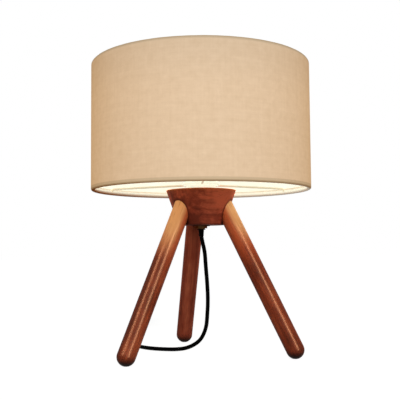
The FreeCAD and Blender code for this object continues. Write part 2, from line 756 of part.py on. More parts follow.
keep(turned("fitter_ring", [
    ("fitter_bore", "0"), ("fitter_radius", "0"),
    ("fitter_radius", "fitter_thickness"), ("fitter_bore", "fitter_thickness"),
], "fitter_base"), "fitter_ring")


def spider_arm():
    """One arm of the spider along +X: out level from the fitter ring, then down to the lower wire."""
    level = size("arm_height")
    radius = size("arm_wire_radius")
    inner = Vector(total("fitter_radius - fitter_thickness"), 0, level)
    bend = size("arm_bend")
    # the drop stands as far in as leaves the arm clear of the liner
    out = total("liner_bore - wire_play - arm_wire_radius")
    corner = Vector(out, 0, level)
    foot = Vector(out, 0, size("bottom_wire_height"))
    first = corner - Vector(bend, 0, 0)
    last = corner - Vector(0, 0, bend)
    middle = corner + Vector(-bend, 0, -bend) + Vector(1, 0, 1).normalize() * bend
    wire = Part.Wire([
        Part.LineSegment(inner, first).toShape(),
        Part.Arc(first, middle, last).toShape(),
        Part.LineSegment(last, foot).toShape(),
    ])
    arm = tube_along(wire, radius, inner, Vector(1, 0, 0))
    hub_of_ring = Part.makeCylinder(size("fitter_radius"), 4.0 * radius,
                                    Vector(0, 0, level - 2.0 * radius))
    wire_ring = Part.makeTorus(size("wire_circle"), size("ring_wire_radius"),
                               Vector(0, 0, size("bottom_wire_height")))
    below_ring = box_at(Vector(0, -size("shade_radius"), 0),
                        (size("shade_radius"), 2.0 * size("shade_radius"), size("bottom_wire_height")))
    return arm.cut(hub_of_ring).cut(wire_ring).cut(below_ring)


arm_shapes = []
for number in range(SPIDER_ARMS):
    arm = spider_arm()
    arm.rotate(Vector(0, 0, 0), Vector(0, 0, 1), size("arm_azimuth") + 360.0 / SPIDER_ARMS * number)
    arm_shapes.append(arm)
keep(solid_feature("fitter_arms", Part.makeCompound(arm_shapes)), "fitter_arms")


# ---------------------------------------------------------------- bulb
keep(turned("bulb_contact", [
    ("0", "0"), ("bulb_tip_radius - bulb_cap_wall", "0"),
    ("bulb_tip_radius", "bulb_cap_wall"), ("bulb_tip_radius", "bulb_tip_height"),
    ("0", "bulb_tip_height"),
], "bulb_base"), "bulb_contact")
keep(turned("bulb_insulator", [
    ("0", "bulb_tip_height"), ("bulb_tip_radius", "bulb_tip_height"),
    ("bulb_cap_radius - bulb_thread_depth", "bulb_tip_height + bulb_insulator_height"),
    ("0", "bulb_tip_height + bulb_insulator_height"),
], "bulb_base"), "bulb_insulator")


def bulb_screw_cap():
    """The screw cap: a thin shell whose section rises and falls once in every pitch."""
    pitch = size("bulb_thread_pitch")
    height = size("bulb_cap_height")
    crest = size("bulb_cap_radius")
    root = crest - size("bulb_thread_depth")
    turns = int((height - pitch) / pitch)
    start = (height - turns * pitch) / 2.0
    outer = [Part.LineSegment(Vector(root, 0, 0), Vector(root, 0, start)).toShape()]
    for turn in range(turns):
        low = start + turn * pitch
        outer.append(Part.Arc(Vector(root, 0, low), Vector(crest, 0, low + pitch / 2),
                              Vector(root, 0, low + pitch)).toShape())
    last = start + turns * pitch
    bore = root - size("bulb_cap_wall")
    corners = [Vector(root, 0, last), Vector(root, 0, height), Vector(bore, 0, height),
               Vector(bore, 0, 0), Vector(root, 0, 0)]
    outer += [Part.LineSegment(a, b).toShape() for a, b in zip(corners, corners[1:])]
    section = Part.Face(Part.Wire(outer))
    return section.revolve(Vector(0, 0, 0), Vector(0, 0, 1), 360.0)


keep(solid_feature("bulb_cap", bulb_screw_cap(), Placement(
    Vector(0, 0, size("bulb_cap_base")), Rotation())), "bulb_cap")
keep(turned("bulb_housing", [
    ("bulb_cap_radius - bulb_thread_depth - bulb_wall", "0"),
    ("bulb_cap_radius", "0"),
    ("bulb_cap_radius + bulb_wall", "bulb_thread_pitch"),
    ("bulb_rim_radius", "bulb_neck"),
    ("led_board_radius", "bulb_neck"),
    ("led_board_radius", "bulb_neck - led_board_drop"),
    ("led_board_radius - bulb_wall", "bulb_neck - led_board_drop"),
    ("bulb_cap_radius - bulb_thread_depth", "bulb_thread_pitch"),
], "bulb_neck_base"), "bulb_housing")
keep(turned("bulb_board", [
    ("0", "bulb_neck - led_board_drop"), ("led_board_radius", "bulb_neck - led_board_drop"),
    ("led_board_radius", "bulb_neck - led_board_drop + led_board_thickness"),
    ("0", "bulb_neck - led_board_drop + led_board_thickness"),
], "bulb_neck_base"), "bulb_board")
driver_top = total("bulb_neck_base + bulb_neck - led_board_drop")
keep(solid_feature("bulb_driver", box_at(
    Vector(-size("driver_width") / 2, -size("led_board_thickness") / 2, 0),
    (size("driver_width"), size("led_board_thickness"), size("driver_length"))),
    Placement(Vector(0, 0, driver_top - size("driver_length")), Rotation())), "bulb_driver")


def bulb_globe():
    """The diffuser: the part of a thin sphere above the housing's rim."""
    radius = size("globe_radius")
    sink = size("globe_sink")
    ball = Part.makeSphere(radius, Vector(0, 0, sink))
    ball = ball.cut(Part.makeSphere(radius - size("globe_wall"), Vector(0, 0, sink)))
    return ball.common(box_at(Vector(-radius, -radius, 0), (2 * radius, 2 * radius, 2 * radius)))


keep(solid_feature("bulb_globe", bulb_globe(), Placement(
    Vector(0, 0, size("bulb_rim_height")), Rotation())), "bulb_globe")


# ---------------------------------------------------------------- mains lead inside the lamp
keep(turned("cord_sleeve", [
    ("cord_radius", "0 - sleeve_nose"),
    ("sleeve_tip_radius", "0 - sleeve_nose"),
    ("sleeve_nose_radius", "0"),
    ("sleeve_collar_radius", "0"),
    ("sleeve_collar_radius", "sleeve_collar"),
    ("tube_bore", "sleeve_collar"),
    ("tube_bore", "sleeve_collar + sleeve_in_tube"),
    ("cord_radius", "sleeve_collar + sleeve_in_tube"),
], "sleeve_base"), "cord_sleeve")
keep(turned("cord_riser", [
    ("0", "cord_exit_height"), ("cord_radius", "cord_exit_height"),
    ("cord_radius", "riser_top"), ("0", "riser_top"),
]), "cord_riser")

holder_lead_shapes = []
for side in (-1, 1):
    near = side * size("lead_near")
    far = side * size("lead_far")
    lead_points = [Vector(near, 0, size("riser_top")),
                   Vector(near, 0, total("riser_top + lead_rise")),
                   Vector(far, 0, total("block_base - lead_rise")),
                   Vector(far, 0, size("block_base"))]
    lead_wire, lead_bends = rounded_route(lead_points)
    holder_lead_shapes.append(tube_along(
        lead_wire, size("lead_radius"), lead_points[0], Vector(0, 0, 1)))
keep(solid_feature("holder_leads", Part.makeCompound(holder_lead_shapes)), "holder_leads")


# ---------------------------------------------------------------- place of the put-away cord
store = Placement(Vector(size("store_x"), size("store_y"), 0),
                  Rotation(Vector(0, 0, 1), size("store_turn")))


def stored(across, along, height):
    """A point beside the switch's near end, in the lamp's own frame."""
    return store.multVec(Vector(across, along, height))


# ---------------------------------------------------------------- in-line switch
switch_middle = size("switch_length") / 2.0
SWITCH_FRAME = Placement(stored(0, switch_middle, 0), store.Rotation)


def switch_shell(name, low, high):
    """A rounded block in the switch's plan between two heights."""
    length, width = size("switch_length"), size("switch_width")
    block = box_at(Vector(-width / 2, -length / 2, low), (width, length, high - low))
    upright = [edge for edge in block.Edges
               if abs(edge.tangentAt(edge.FirstParameter).z) > 0.9]
    return block.makeFillet(size("switch_corner"), upright)


def cavity(low, high):
    """The hollow inside a switch shell."""
    wall = size("switch_wall")
    length, width = size("switch_length") - 2 * wall, size("switch_width") - 2 * wall
    block = box_at(Vector(-width / 2, -length / 2, low), (width, length, high - low))
    upright = [edge for edge in block.Edges
               if abs(edge.tangentAt(edge.FirstParameter).z) > 0.9]
    return block.makeFillet(size("switch_corner") - wall, upright)


def flat_edges(shape, height):
    """The outer edges that lie at one height."""
    return [edge for edge in shape.Edges
            if all(abs(v.Z - height) < 1e-6 for v in edge.Vertexes)]


parting = size("switch_parting")
post_places = [Vector(side * size("post_across"), side * size("post_along"), 0) for side in (-1, 1)]
cord_hole = round_bar(Vector(0, -size("switch_length"), parting),
                      Vector(0, size("switch_length"), parting), size("cord_radius"))

base_shell = switch_shell("base", 0.0, parting)
base_shell = base_shell.makeFillet(size("switch_edge"), flat_edges(base_shell, 0.0))
base_shell = base_shell.cut(cavity(size("switch_wall"), parting))
for place in post_places:
    base_shell = base_shell.fuse(Part.makeCylinder(
        size("post_radius"), parting - size("switch_wall") / 2,
        place + Vector(0, 0, size("switch_wall") / 2)))
for place in post_places:
    base_shell = base_shell.cut(Part.makeCylinder(size("screw_radius"), parting, place))
    base_shell = base_shell.cut(Part.makeCylinder(
        size("screw_head_radius"), size("screw_head_height"), place))
base_shell = base_shell.cut(cord_hole).removeSplitter()
keep(solid_feature("switch_base", base_shell, SWITCH_FRAME), "switch_base")

top = size("switch_height")
roof = top - size("switch_wall")
cover_shell = switch_shell("cover", parting, top)
cover_shell = cover_shell.makeFillet(size("switch_edge"), flat_edges(cover_shell, top))
cover_shell = cover_shell.cut(cavity(parting, roof))
for place in post_places:
    cover_shell = cover_shell.fuse(Part.makeCylinder(
        size("post_radius"), roof + size("switch_wall") / 2 - parting, place + Vector(0, 0, parting)))
lug_base = size("pin_height") - size("lug_drop")
slot = box_at(Vector(-size("slot_width") / 2, -size("slot_length") / 2, lug_base),
              (size("slot_width"), size("slot_length"), size("switch_height")))
for side in (-1, 1):
    inner = side * size("slot_width") / 2
    lug = box_at(Vector(min(inner, inner + side * size("lug_thickness")), -size("lug_drop"), lug_base),
                 (size("lug_thickness"), 2 * size("lug_drop"), roof + size("switch_wall") / 2 - lug_base))
    cover_shell = cover_shell.fuse(lug)
cover_shell = cover_shell.cut(slot)
pin_bar = round_bar(Vector(-size("pin_length") / 2, 0, size("pin_height")),
                    Vector(size("pin_length") / 2, 0, size("pin_height")), size("pin_radius"))
cover_shell = cover_shell.cut(pin_bar).cut(cord_hole)
for place in post_places:
    cover_shell = cover_shell.cut(Part.makeCylinder(
        size("screw_radius"), size("screw_length") - parting + size("screw_head_height"),
        place + Vector(0, 0, parting)))
keep(solid_feature("switch_cover", cover_shell.removeSplitter(), SWITCH_FRAME), "switch_cover")
keep(solid_feature("rocker_pin", pin_bar, SWITCH_FRAME), "rocker_pin")

screw_shapes = []
for place in post_places:
    head = Part.makeCylinder(size("screw_head_radius"), size("screw_head_height"), place)
    shank = Part.makeCylinder(size("screw_radius"), size("screw_length"),
                              place + Vector(0, 0, size("screw_head_height")))
    groove = box_at(place + Vector(-size("screw_head_radius"), -size("screw_head_height") / 4, 0),
                    (2 * size("screw_head_radius"), size("screw_head_height") / 2,
                     size("screw_head_height") / 2))
    screw_shapes.append(head.fuse(shank).cut(groove).removeSplitter())
keep(solid_feature("switch_screws", Part.makeCompound(screw_shapes), SWITCH_FRAME), "switch_screws")

rocker_corners = [
    Vector(0, -size("rocker_length") / 2 + size("rocker_depth"), -size("rocker_depth")),
    Vector(0, size("rocker_length") / 2 - size("rocker_depth"), -size("rocker_depth")),
    Vector(0, size("rocker_length") / 2, size("rocker_rise")),
    Vector(0, 0, size("rocker_crown") - size("rocker_depth") / 2),
    Vector(0, -size("rocker_length") / 2, size("rocker_rise")),
]
rocker_face = Part.Face(Part.makePolygon(rocker_corners + rocker_corners[:1]))
rocker = rocker_face.extrude(Vector(size("rocker_width"), 0, 0))
rocker.translate(Vector(-size("rocker_width") / 2, 0, 0))
rocker = rocker.cut(round_bar(Vector(-size("rocker_width"), 0, 0), Vector(size("rocker_width"), 0, 0),
                              size("pin_radius") + size("pin_play")))
rocker_place = SWITCH_FRAME.multiply(Placement(
    Vector(0, 0, size("pin_height")), Rotation(Vector(1, 0, 0), size("rocker_tilt"))))
keep(solid_feature("switch_rocker", rocker, rocker_place), "switch_rocker")
rocker_contact = box_at(
    Vector(-size("block_width") / 2, -size("block_length"), -size("rocker_depth") - size("shell_wall")),
    (size("block_width"), 2 * size("block_length"), size("shell_wall")))
keep(solid_feature("rocker_contact", rocker_contact, rocker_place), "rocker_contact")

terminal_blocks = []
for side in (-1, 1):
    middle = side * (size("block_from_middle") + size("block_length") / 2)
    terminal_blocks.append(box_at(
        Vector(-size("block_width"), middle - size("block_length") / 2, size("switch_wall")),
        (size("block_width"), size("block_length"), size("block_rise"))))
keep(solid_feature("switch_terminals", Part.makeCompound(terminal_blocks), SWITCH_FRAME),
     "switch_terminals")
sheath_end = switch_middle - size("sheath_in_switch")
block_end = total("block_from_middle + block_length")
lead_height = total("switch_parting - lead_drop")
switch_leads = [round_bar(
    Vector(-size("lead_near"), side * sheath_end, lead_height),
    Vector(-size("lead_near"), side * block_end, lead_height), size("lead_radius")) for side in (-1, 1)]
switch_leads.append(round_bar(
    Vector(size("lead_near"), -sheath_end, lead_height),
    Vector(size("lead_near"), sheath_end, lead_height), size("lead_radius")))
keep(solid_feature("switch_leads", Part.makeCompound(switch_leads), SWITCH_FRAME), "switch_leads")


# ---------------------------------------------------------------- free stretches of cord
on_table = size("cord_radius")
exit_point = Vector(0, 0, size("cord_exit_height"))
near_hole = stored(0, size("sheath_in_switch"), parting)
far_hole = stored(0, size("switch_length") - size("sheath_in_switch"), parting)
hank_near = size("hank_along") - size("hank_run") / 2
hank_start = stored(size("hank_across") + size("fold_radius"), hank_near, on_table)

# the hanging part's heights are shares of the height where the cord leaves its sleeve
drop_points = [
    exit_point,
    exit_point * 0.9456,
    Vector(3.6, 1.0, 0.8671 * exit_point.z),
    Vector(5.7, 3.5, 0.7424 * exit_point.z),
    Vector(7.6, 8.0, 0.5989 * exit_point.z),
    Vector(8.5, 12.5, 0.4492 * exit_point.z),
    Vector(7.3, 16.0, 0.3119 * exit_point.z),
    Vector(5.7, 19.0, 0.2059 * exit_point.z),
    Vector(-2.4, 23.0, 0.0961 * exit_point.z),
    Vector(-19.0, 27.0, 5.3),
    Vector(-36.0, 30.0, on_table),
    Vector(-54.0, 33.0, on_table),
    Vector(-72.0, 41.0, on_table),
    Vector(-88.0, 56.0, on_table),
    Vector(-99.0, 77.0, on_table),
    Vector(-104.5, 102.0, on_table),
    Vector(-105.5, 126.0, on_table),
    stored(0, -32.0, 3.4),
    stored(0, -11.0, parting),
    near_hole,
]
keep(solid_feature("cord_drop", cord_tube("cord_drop", drop_points, on_table)), "cord_drop")

run_length = hank_near - size("switch_length")
run_across = size("hank_across") + size("fold_radius")
run_points = [far_hole]
for along, across, height in (
        (0.1, 0.0, parting), (0.28, 0.08, 3.6),
        (0.5, 0.4, on_table), (0.72, 0.81, on_table), (0.84, 1.0, on_table)):
    run_points.append(stored(
        across * run_across, size("switch_length") + along * run_length, height))
run_points.append(hank_start)
keep(solid_feature("cord_run", cord_tube("cord_run", run_points, on_table)), "cord_run")


# ---------------------------------------------------------------- hank
def biarc(start, start_way, end, end_way):
    """Two arcs, tangent to each other and to the ways at both ends."""
    chord = end - start
    both = start_way + end_way
    apart = 2.0 * (1.0 - start_way.dot(end_way))
    if apart < 1e-9:
        reach = chord.dot(chord) / (4.0 * chord.dot(end_way))
    else:
        reach = (-chord.dot(both) + math.sqrt(
            chord.dot(both) ** 2 + apart * chord.dot(chord))) / apart
    joint = (start + end + (start_way - end_way) * reach) * 0.5
    edges = []
    for first, way, last in ((start, start_way, joint), (end, end_way * -1.0, joint)):
        across = last - first
        turn = way.getAngle(across)
        if turn < 1e-6:
            edges.append(Part.LineSegment(first, last).toShape())
            continue
        side = across - way * across.dot(way)
        side.normalize()
        # the middle of an arc lies half the turn off its own chord
        rise = across.Length / 2.0 * math.tan(turn / 2.0)
        outward = (way * across.Length - across * math.cos(turn)).normalize()
        middle = (first + last) * 0.5 + outward * rise
        edges.append(Part.Arc(first, middle, last).toShape())
    return edges


def hank_knots():
    """Points and ways along the hank. Each loop climbs to the next layer along its left run."""
    half_run = size("hank_run") / 2.0
    fold = size("fold_radius")
    waist = fold - size("waist_draw")
    knots = []
    for layer in range(int(size("hank_loops"))):
        middle = size("hank_across") + layer * size("layer_shift")
        next_middle = middle + size("layer_shift")
        level = on_table + layer * size("layer_step")
        next_level = level + size("layer_step")
        high = level + size("waist_lift")
        knots += [
            (Vector(middle + waist, 0, high), Vector(0, 1, 0)),
            (Vector(middle + fold, half_run, level), Vector(0, 1, 0)),
            (Vector(middle, half_run + fold, level), Vector(-1, 0, 0)),
            (Vector(middle - fold, half_run, level), Vector(0, -1, 0)),
            (Vector(middle - waist, 0, high), Vector(0, -1, 0)),
            (Vector(next_middle - fold, -half_run, next_level), Vector(0, -1, 0)),
            (Vector(next_middle, -half_run - fold, next_level), Vector(1, 0, 0)),
            (Vector(next_middle + fold, -half_run, next_level), Vector(0, 1, 0)),
        ]
    start = (Vector(size("hank_across") + fold, -half_run, on_table), Vector(0, 1, 0))
    return [start] + knots


def hank_wire():
    knots = [(stored(point.x, point.y + size("hank_along"), point.z),
              store.Rotation.multVec(way)) for point, way in hank_knots()]
    edges = []
    for (first, way), (last, last_way) in zip(knots, knots[1:]):
        pair = biarc(first, way, last, last_way)
        edges.append(pair[0])
        back = pair[1]
        back.reverse()
        edges.append(back)
    # the ends run straight for one diameter
    straight = 2.0 * size("cord_radius")
    first, way = knots[0]
    last, last_way = knots[-1]
    edges.append(Part.LineSegment(last, last + last_way * straight).toShape())
    return Part.Wire(Part.__sortEdges__(edges)), first, way, last + last_way * straight


def least_gap(wire, radius, skip):
    """The least gap between turns of a tube, measured on points along its middle line."""
    count = int(wire.Length / 2.0)
    points = wire.discretize(Number=count)
    step = wire.Length / (count - 1)
    apart = int(skip / step)
    best = 1e9
    for number, point in enumerate(points):
        for other in points[number + apart:]:
            best = min(best, point.distanceToPoint(other))
    return best - 2.0 * radius


hank_path, hank_first, hank_way, hank_end = hank_wire()
hank_solid = tube_along(hank_path, size("cord_radius"), hank_first, hank_way)
print("cord_hank: length %.1f, least gap %.2f, volume share %.4f" % (
    hank_path.Length, least_gap(hank_path, size("cord_radius"), 5.0 * size("fold_radius")),
    hank_solid.Volume / (math.pi * size("cord_radius") ** 2 * hank_path.Length)))
keep(solid_feature("cord_hank", hank_solid), "cord_hank")


def tie_band(grow):
    """The outline round all runs at the waist, grown by a distance, in the waist's plane."""
    waist = size("fold_radius") - size("waist_draw")
    layers = int(size("hank_loops")) - 1
    along = size("hank_along") - size("tie_width") / 2
    low = on_table + size("waist_lift")
    high = low + layers * size("layer_step")
    left, right = size("hank_across") - waist, size("hank_across") + waist
    slide = layers * size("layer_shift")
    corners = [Vector(left, along, low), Vector(right, along, low),
               Vector(right + slide, along, high), Vector(left + slide, along, high)]
    plane = Part.Face(Part.makePolygon(corners + corners[:1]))
    return Part.Face(plane.OuterWire.makeOffset2D(grow, 0, False, False))


tie_inner = tie_band(size("cord_radius") + size("tie_play"))
tie_outer = tie_band(size("cord_radius") + size("tie_play") + size("tie_thickness"))
tie = tie_outer.cut(tie_inner).extrude(Vector(0, size("tie_width"), 0))
keep(solid_feature("hank_tie", tie, store), "hank_tie")


# ---------------------------------------------------------------- plug
PLUG_FRAME = Placement(stored(size("plug_across"), size("plug_along"), size("plug_base")),
                       store.Rotation)
half_wide, half_tail = size("plug_width") / 2, size("plug_tail_width") / 2
plug_front = size("plug_length")
plug_corners = [
    Vector(-half_tail, 0, 0), Vector(half_tail, 0, 0),
    Vector(half_wide, plug_front - size("plug_face"), 0), Vector(half_wide, plug_front, 0),
    Vector(-half_wide, plug_front, 0), Vector(-half_wide, plug_front - size("plug_face"), 0)]
plug_plan = Part.Face(Part.makePolygon(plug_corners + plug_corners[:1]))
plug_block = plug_plan.extrude(Vector(0, 0, size("plug_thickness")))
plug_block = plug_block.makeFillet(size("plug_edge"), [
    edge for edge in plug_block.Edges
    if any(v.Y < plug_front - 1e-6 for v in edge.Vertexes)])
pin_height = size("plug_thickness") / 2
pin_roots = [Vector(side * size("plug_pin_spacing") / 2, plug_front, pin_height) for side in (-1, 1)]
pin_shapes = []
for root in pin_roots:
    tip = root + Vector(0, size("plug_pin_length"), 0)
    bar = round_bar(root, tip, size("plug_pin_radius"))
    bar = bar.makeFillet(size("plug_pin_tip"), [
        edge for edge in bar.Edges if all(abs(v.Y - tip.y) < 1e-6 for v in edge.Vertexes)])
    shank = round_bar(root - Vector(0, size("plug_pin_depth"), 0), root, size("plug_shank_radius"))
    plug_block = plug_block.cut(shank)
    pin_shapes.append(bar.fuse(shank).removeSplitter())
keep(solid_feature("plug_body", plug_block, PLUG_FRAME), "plug_body")
keep(solid_feature("plug_pins", Part.makeCompound(pin_shapes), PLUG_FRAME), "plug_pins")

boot = Part.makeCone(size("boot_tip_radius"), size("boot_radius"), size("boot_length"),
                     Vector(0, -size("boot_length"), pin_height), Vector(0, 1, 0))
keep(solid_feature("plug_boot", boot, PLUG_FRAME), "plug_boot")

boot_end = size("plug_along") - size("boot_length")
tail_points = [
    hank_end,
    hank_end + store.Rotation.multVec(Vector(0, 8.8, 0)),
    hank_end + store.Rotation.multVec(Vector(-2.5, 19.0, 0.7)),
    stored(size("plug_across") + 2.5, boot_end - 19.0, size("plug_axis") - 0.7),
    stored(size("plug_across"), boot_end - 9.1, size("plug_axis")),
    stored(size("plug_across"), boot_end, size("plug_axis")),
]
keep(solid_feature("cord_tail", cord_tube("cord_tail", tail_points, on_table)), "cord_tail")


# ---------------------------------------------------------------- check and write
doc.recompute()
for item in doc.Objects:
    if "Invalid" in item.State or "Error" in item.State:
        raise RuntimeError("%s failed: %s" % (item.Name, item.State))
for name, item in nodes.items():
    if item.Shape.isNull() or not item.Shape.isValid() or not item.Shape.Solids:
        raise RuntimeError("%s has no valid solid" % name)
for name, item in nodes.items():
    item.Shape.exportStep(os.path.join("parts", name + ".step"))
print("%d nodes written" % len(nodes))
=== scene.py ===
import bmesh
import bpy
import math
from mathutils import Matrix, Vector, noise


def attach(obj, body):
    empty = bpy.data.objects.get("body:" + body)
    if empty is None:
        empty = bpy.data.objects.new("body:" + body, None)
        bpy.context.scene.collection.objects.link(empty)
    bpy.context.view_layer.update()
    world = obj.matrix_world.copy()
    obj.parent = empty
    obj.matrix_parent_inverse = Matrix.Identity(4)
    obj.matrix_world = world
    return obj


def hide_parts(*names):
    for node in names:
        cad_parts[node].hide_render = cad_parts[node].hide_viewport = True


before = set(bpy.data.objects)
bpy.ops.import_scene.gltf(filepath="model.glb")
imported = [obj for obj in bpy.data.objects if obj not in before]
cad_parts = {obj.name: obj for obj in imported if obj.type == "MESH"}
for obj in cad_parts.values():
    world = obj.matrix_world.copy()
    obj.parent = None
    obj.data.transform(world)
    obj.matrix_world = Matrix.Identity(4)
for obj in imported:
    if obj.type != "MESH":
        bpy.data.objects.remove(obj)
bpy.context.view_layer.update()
scene = bpy.context.scene
scene.view_settings.view_transform = "Standard"

# ---------------------------------------------------------------- camera
PITCH, YAW, ROLL = math.radians(3.784), math.radians(-0.093), math.radians(-0.426)
EYE = (0, -0.93683, 0.14835)
SENSOR_MM, PICTURE_PIXELS, FOCAL_PIXELS = 36.0, 400, 681.742
forward = Vector((math.sin(YAW) * math.cos(PITCH), math.cos(YAW) * math.cos(PITCH), math.sin(PITCH)))
level = Vector((math.cos(YAW), -math.sin(YAW), 0))
upward = level.cross(forward)
right = math.cos(ROLL) * level + math.sin(ROLL) * upward
upward = -math.sin(ROLL) * level + math.cos(ROLL) * upward
camera_data = bpy.data.cameras.new("camera")
camera_data.sensor_width = SENSOR_MM
camera_data.lens = FOCAL_PIXELS / PICTURE_PIXELS * SENSOR_MM
camera_data.clip_start = 0.05
camera = bpy.data.objects.new("camera", camera_data)
scene.collection.objects.link(camera)
place = Matrix((right, upward, -forward)).transposed().to_4x4()
place.translation = EYE
camera.matrix_world = place
scene.camera = camera

# ---------------------------------------------------------------- cords
MM = 0.001
CORD_RADIUS = 2.75
STORE_X, STORE_Y, STORE_TURN = -107.5, 180.0, math.radians(2.9)


def stored(across, along, height):
    """A point beside the switch's near end, in millimetres in the lamp's frame."""
    return Vector((STORE_X + math.cos(STORE_TURN) * across - math.sin(STORE_TURN) * along,
                   STORE_Y + math.sin(STORE_TURN) * across + math.cos(STORE_TURN) * along, height))


def spline_cord(name, points, radius):
    """One open smooth spline with the route's points as its control points."""
    data = bpy.data.curves.new(name, "CURVE")
    data.dimensions = "3D"
    # the points' own radius is the cord's, because a curve's box takes in that radius
    data.bevel_depth = 1.0
    data.bevel_resolution = 5
    data.resolution_u = 8
    data.use_fill_caps = True
    spline = data.splines.new("NURBS")
    spline.points.add(len(points) - 1)
    for point, at in zip(spline.points, points):
        point.co = (*(Vector(at) * MM), 1.0)
        point.radius = radius * MM
    spline.order_u = 3
    spline.use_endpoint_u = True
    piece = bpy.data.objects.new(name, data)
    scene.collection.objects.link(piece)
    return piece


PARTING = 7.0
SWITCH_LENGTH = 58.0
FLOOR = CORD_RADIUS
drop_points = [
    (0, 0, 160.3), (1.6, 0.4, 151.6), (4.6, 1.2, 139), (5.7, 3.5, 119), (7.6, 8, 96), (8.5, 12.5, 72),
    (7.3, 16, 50), (5.7, 19, 33), (-2.4, 23, 15.4), (-19, 27, 5.3), (-36, 30, FLOOR),
    (-54, 33, FLOOR), (-72, 41, FLOOR), (-88, 56, FLOOR), (-99, 77, FLOOR), (-104.5, 102, FLOOR),
    (-105.5, 126, FLOOR), stored(0, -32, 3.4), stored(0, -11, PARTING), stored(0, 6, PARTING),
]
HANK_ALONG, HANK_ACROSS, HANK_RUN, FOLD = 209.5, -2.3, 90.0, 15.4
WAIST_DRAW, WAIST_LIFT, LAYER_STEP, LAYER_SHIFT, LOOPS = 4.0, 1.3, 6.05, 2.35, 4
HANK_NEAR = HANK_ALONG - HANK_RUN / 2
# a run's control points: how far from its middle, as shares of half its length
RUN_SHARES = (-1.0, -0.62, -0.24, 0.24, 0.62, 1.0)
# a fold's control points lie a little outside its arc
FOLD_REACH = FOLD / math.cos(math.radians(15)) * 0.985
PLUG_ACROSS, BOOT_END, PLUG_AXIS = 8.5, 223.0, 30.9
run_points = [
    stored(0, SWITCH_LENGTH - 6, PARTING), stored(0, 68.65, PARTING), stored(1.05, 87.82, 3.6),
    stored(5.24, 111.25, FLOOR), stored(10.61, 134.68, FLOOR),
    stored(HANK_ACROSS + FOLD, 147.46, FLOOR),
]


def eased(share):
    """A share from 0 to 1 with a soft start and end."""
    return share * share * (3.0 - 2.0 * share)


def fold_points(middle, end, turns, level):
    """Control points round the fold at one end of the runs."""
    angles = [math.radians(turn) for turn in turns]
    return [(middle + FOLD_REACH * math.cos(angle), end + FOLD_REACH * math.sin(angle), level)
            for angle in angles]


def hank_points():
    """Control points round every loop: up the right run, round the far fold, down the left run, which
    climbs a layer past the waist, and round the near fold."""
    half = HANK_RUN / 2
    points = []
    for layer in range(LOOPS):
        middle = HANK_ACROSS + layer * LAYER_SHIFT
        level = FLOOR + layer * LAYER_STEP
        for along in [half * share for share in RUN_SHARES]:
            draw = 1.0 - eased(abs(along) / half)
            points.append((middle + FOLD - WAIST_DRAW * draw, along, level + WAIST_LIFT * draw))
        points += fold_points(middle, half, range(30, 151, 30), level)
        for along in [half * share for share in reversed(RUN_SHARES)]:
            draw = 1.0 - eased(abs(along) / half)
            climb = eased(max(0.0, -along) / half)
            points.append((middle - FOLD + WAIST_DRAW * draw + LAYER_SHIFT * climb, along,
                           level + WAIST_LIFT * draw + LAYER_STEP * climb))
        points += fold_points(middle + LAYER_SHIFT, -half, range(210, 331, 30), level + LAYER_STEP)
    points.append((HANK_ACROSS + LOOPS * LAYER_SHIFT + FOLD, -half, FLOOR + LOOPS * LAYER_STEP))
    return [stored(x, y + HANK_ALONG, z) for x, y, z in points]


hank = hank_points()
tail_start = HANK_NEAR + 2 * CORD_RADIUS
tail_across, tail_height = HANK_ACROSS + LOOPS * LAYER_SHIFT + FOLD, FLOOR + LOOPS * LAYER_STEP
tail_points = [
    stored(tail_across, tail_start, tail_height), stored(tail_across, tail_start + 8.8, tail_height),
    stored(tail_across - 2.5, tail_start + 19, tail_height + 0.7),
    stored(PLUG_ACROSS + 2.5, BOOT_END - 19, PLUG_AXIS - 0.7),
    stored(PLUG_ACROSS, BOOT_END - 9.1, PLUG_AXIS), stored(PLUG_ACROSS, BOOT_END + 6, PLUG_AXIS),
]
lamp_cord = spline_cord("lamp_cord", drop_points, CORD_RADIUS)
mains_cord = spline_cord("mains_cord", run_points + hank + tail_points, CORD_RADIUS)
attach(lamp_cord, "stand")
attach(mains_cord, "stand")
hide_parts("cord_drop")
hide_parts("cord_run", "cord_hank", "cord_tail")


# ---------------------------------------------------------------- materials
DRUM_RADIUS, DRUM_LOW, DRUM_HIGH = 150.0, 222.5, 395.5
SHADE_RADIUS, SHADE_LOW, SHADE_HIGH = DRUM_RADIUS * MM, DRUM_LOW * MM, DRUM_HIGH * MM


def new_material(name):
    material = bpy.data.materials.new(name)
    material.use_nodes = True
    return material, material.node_tree.nodes, material.node_tree.links


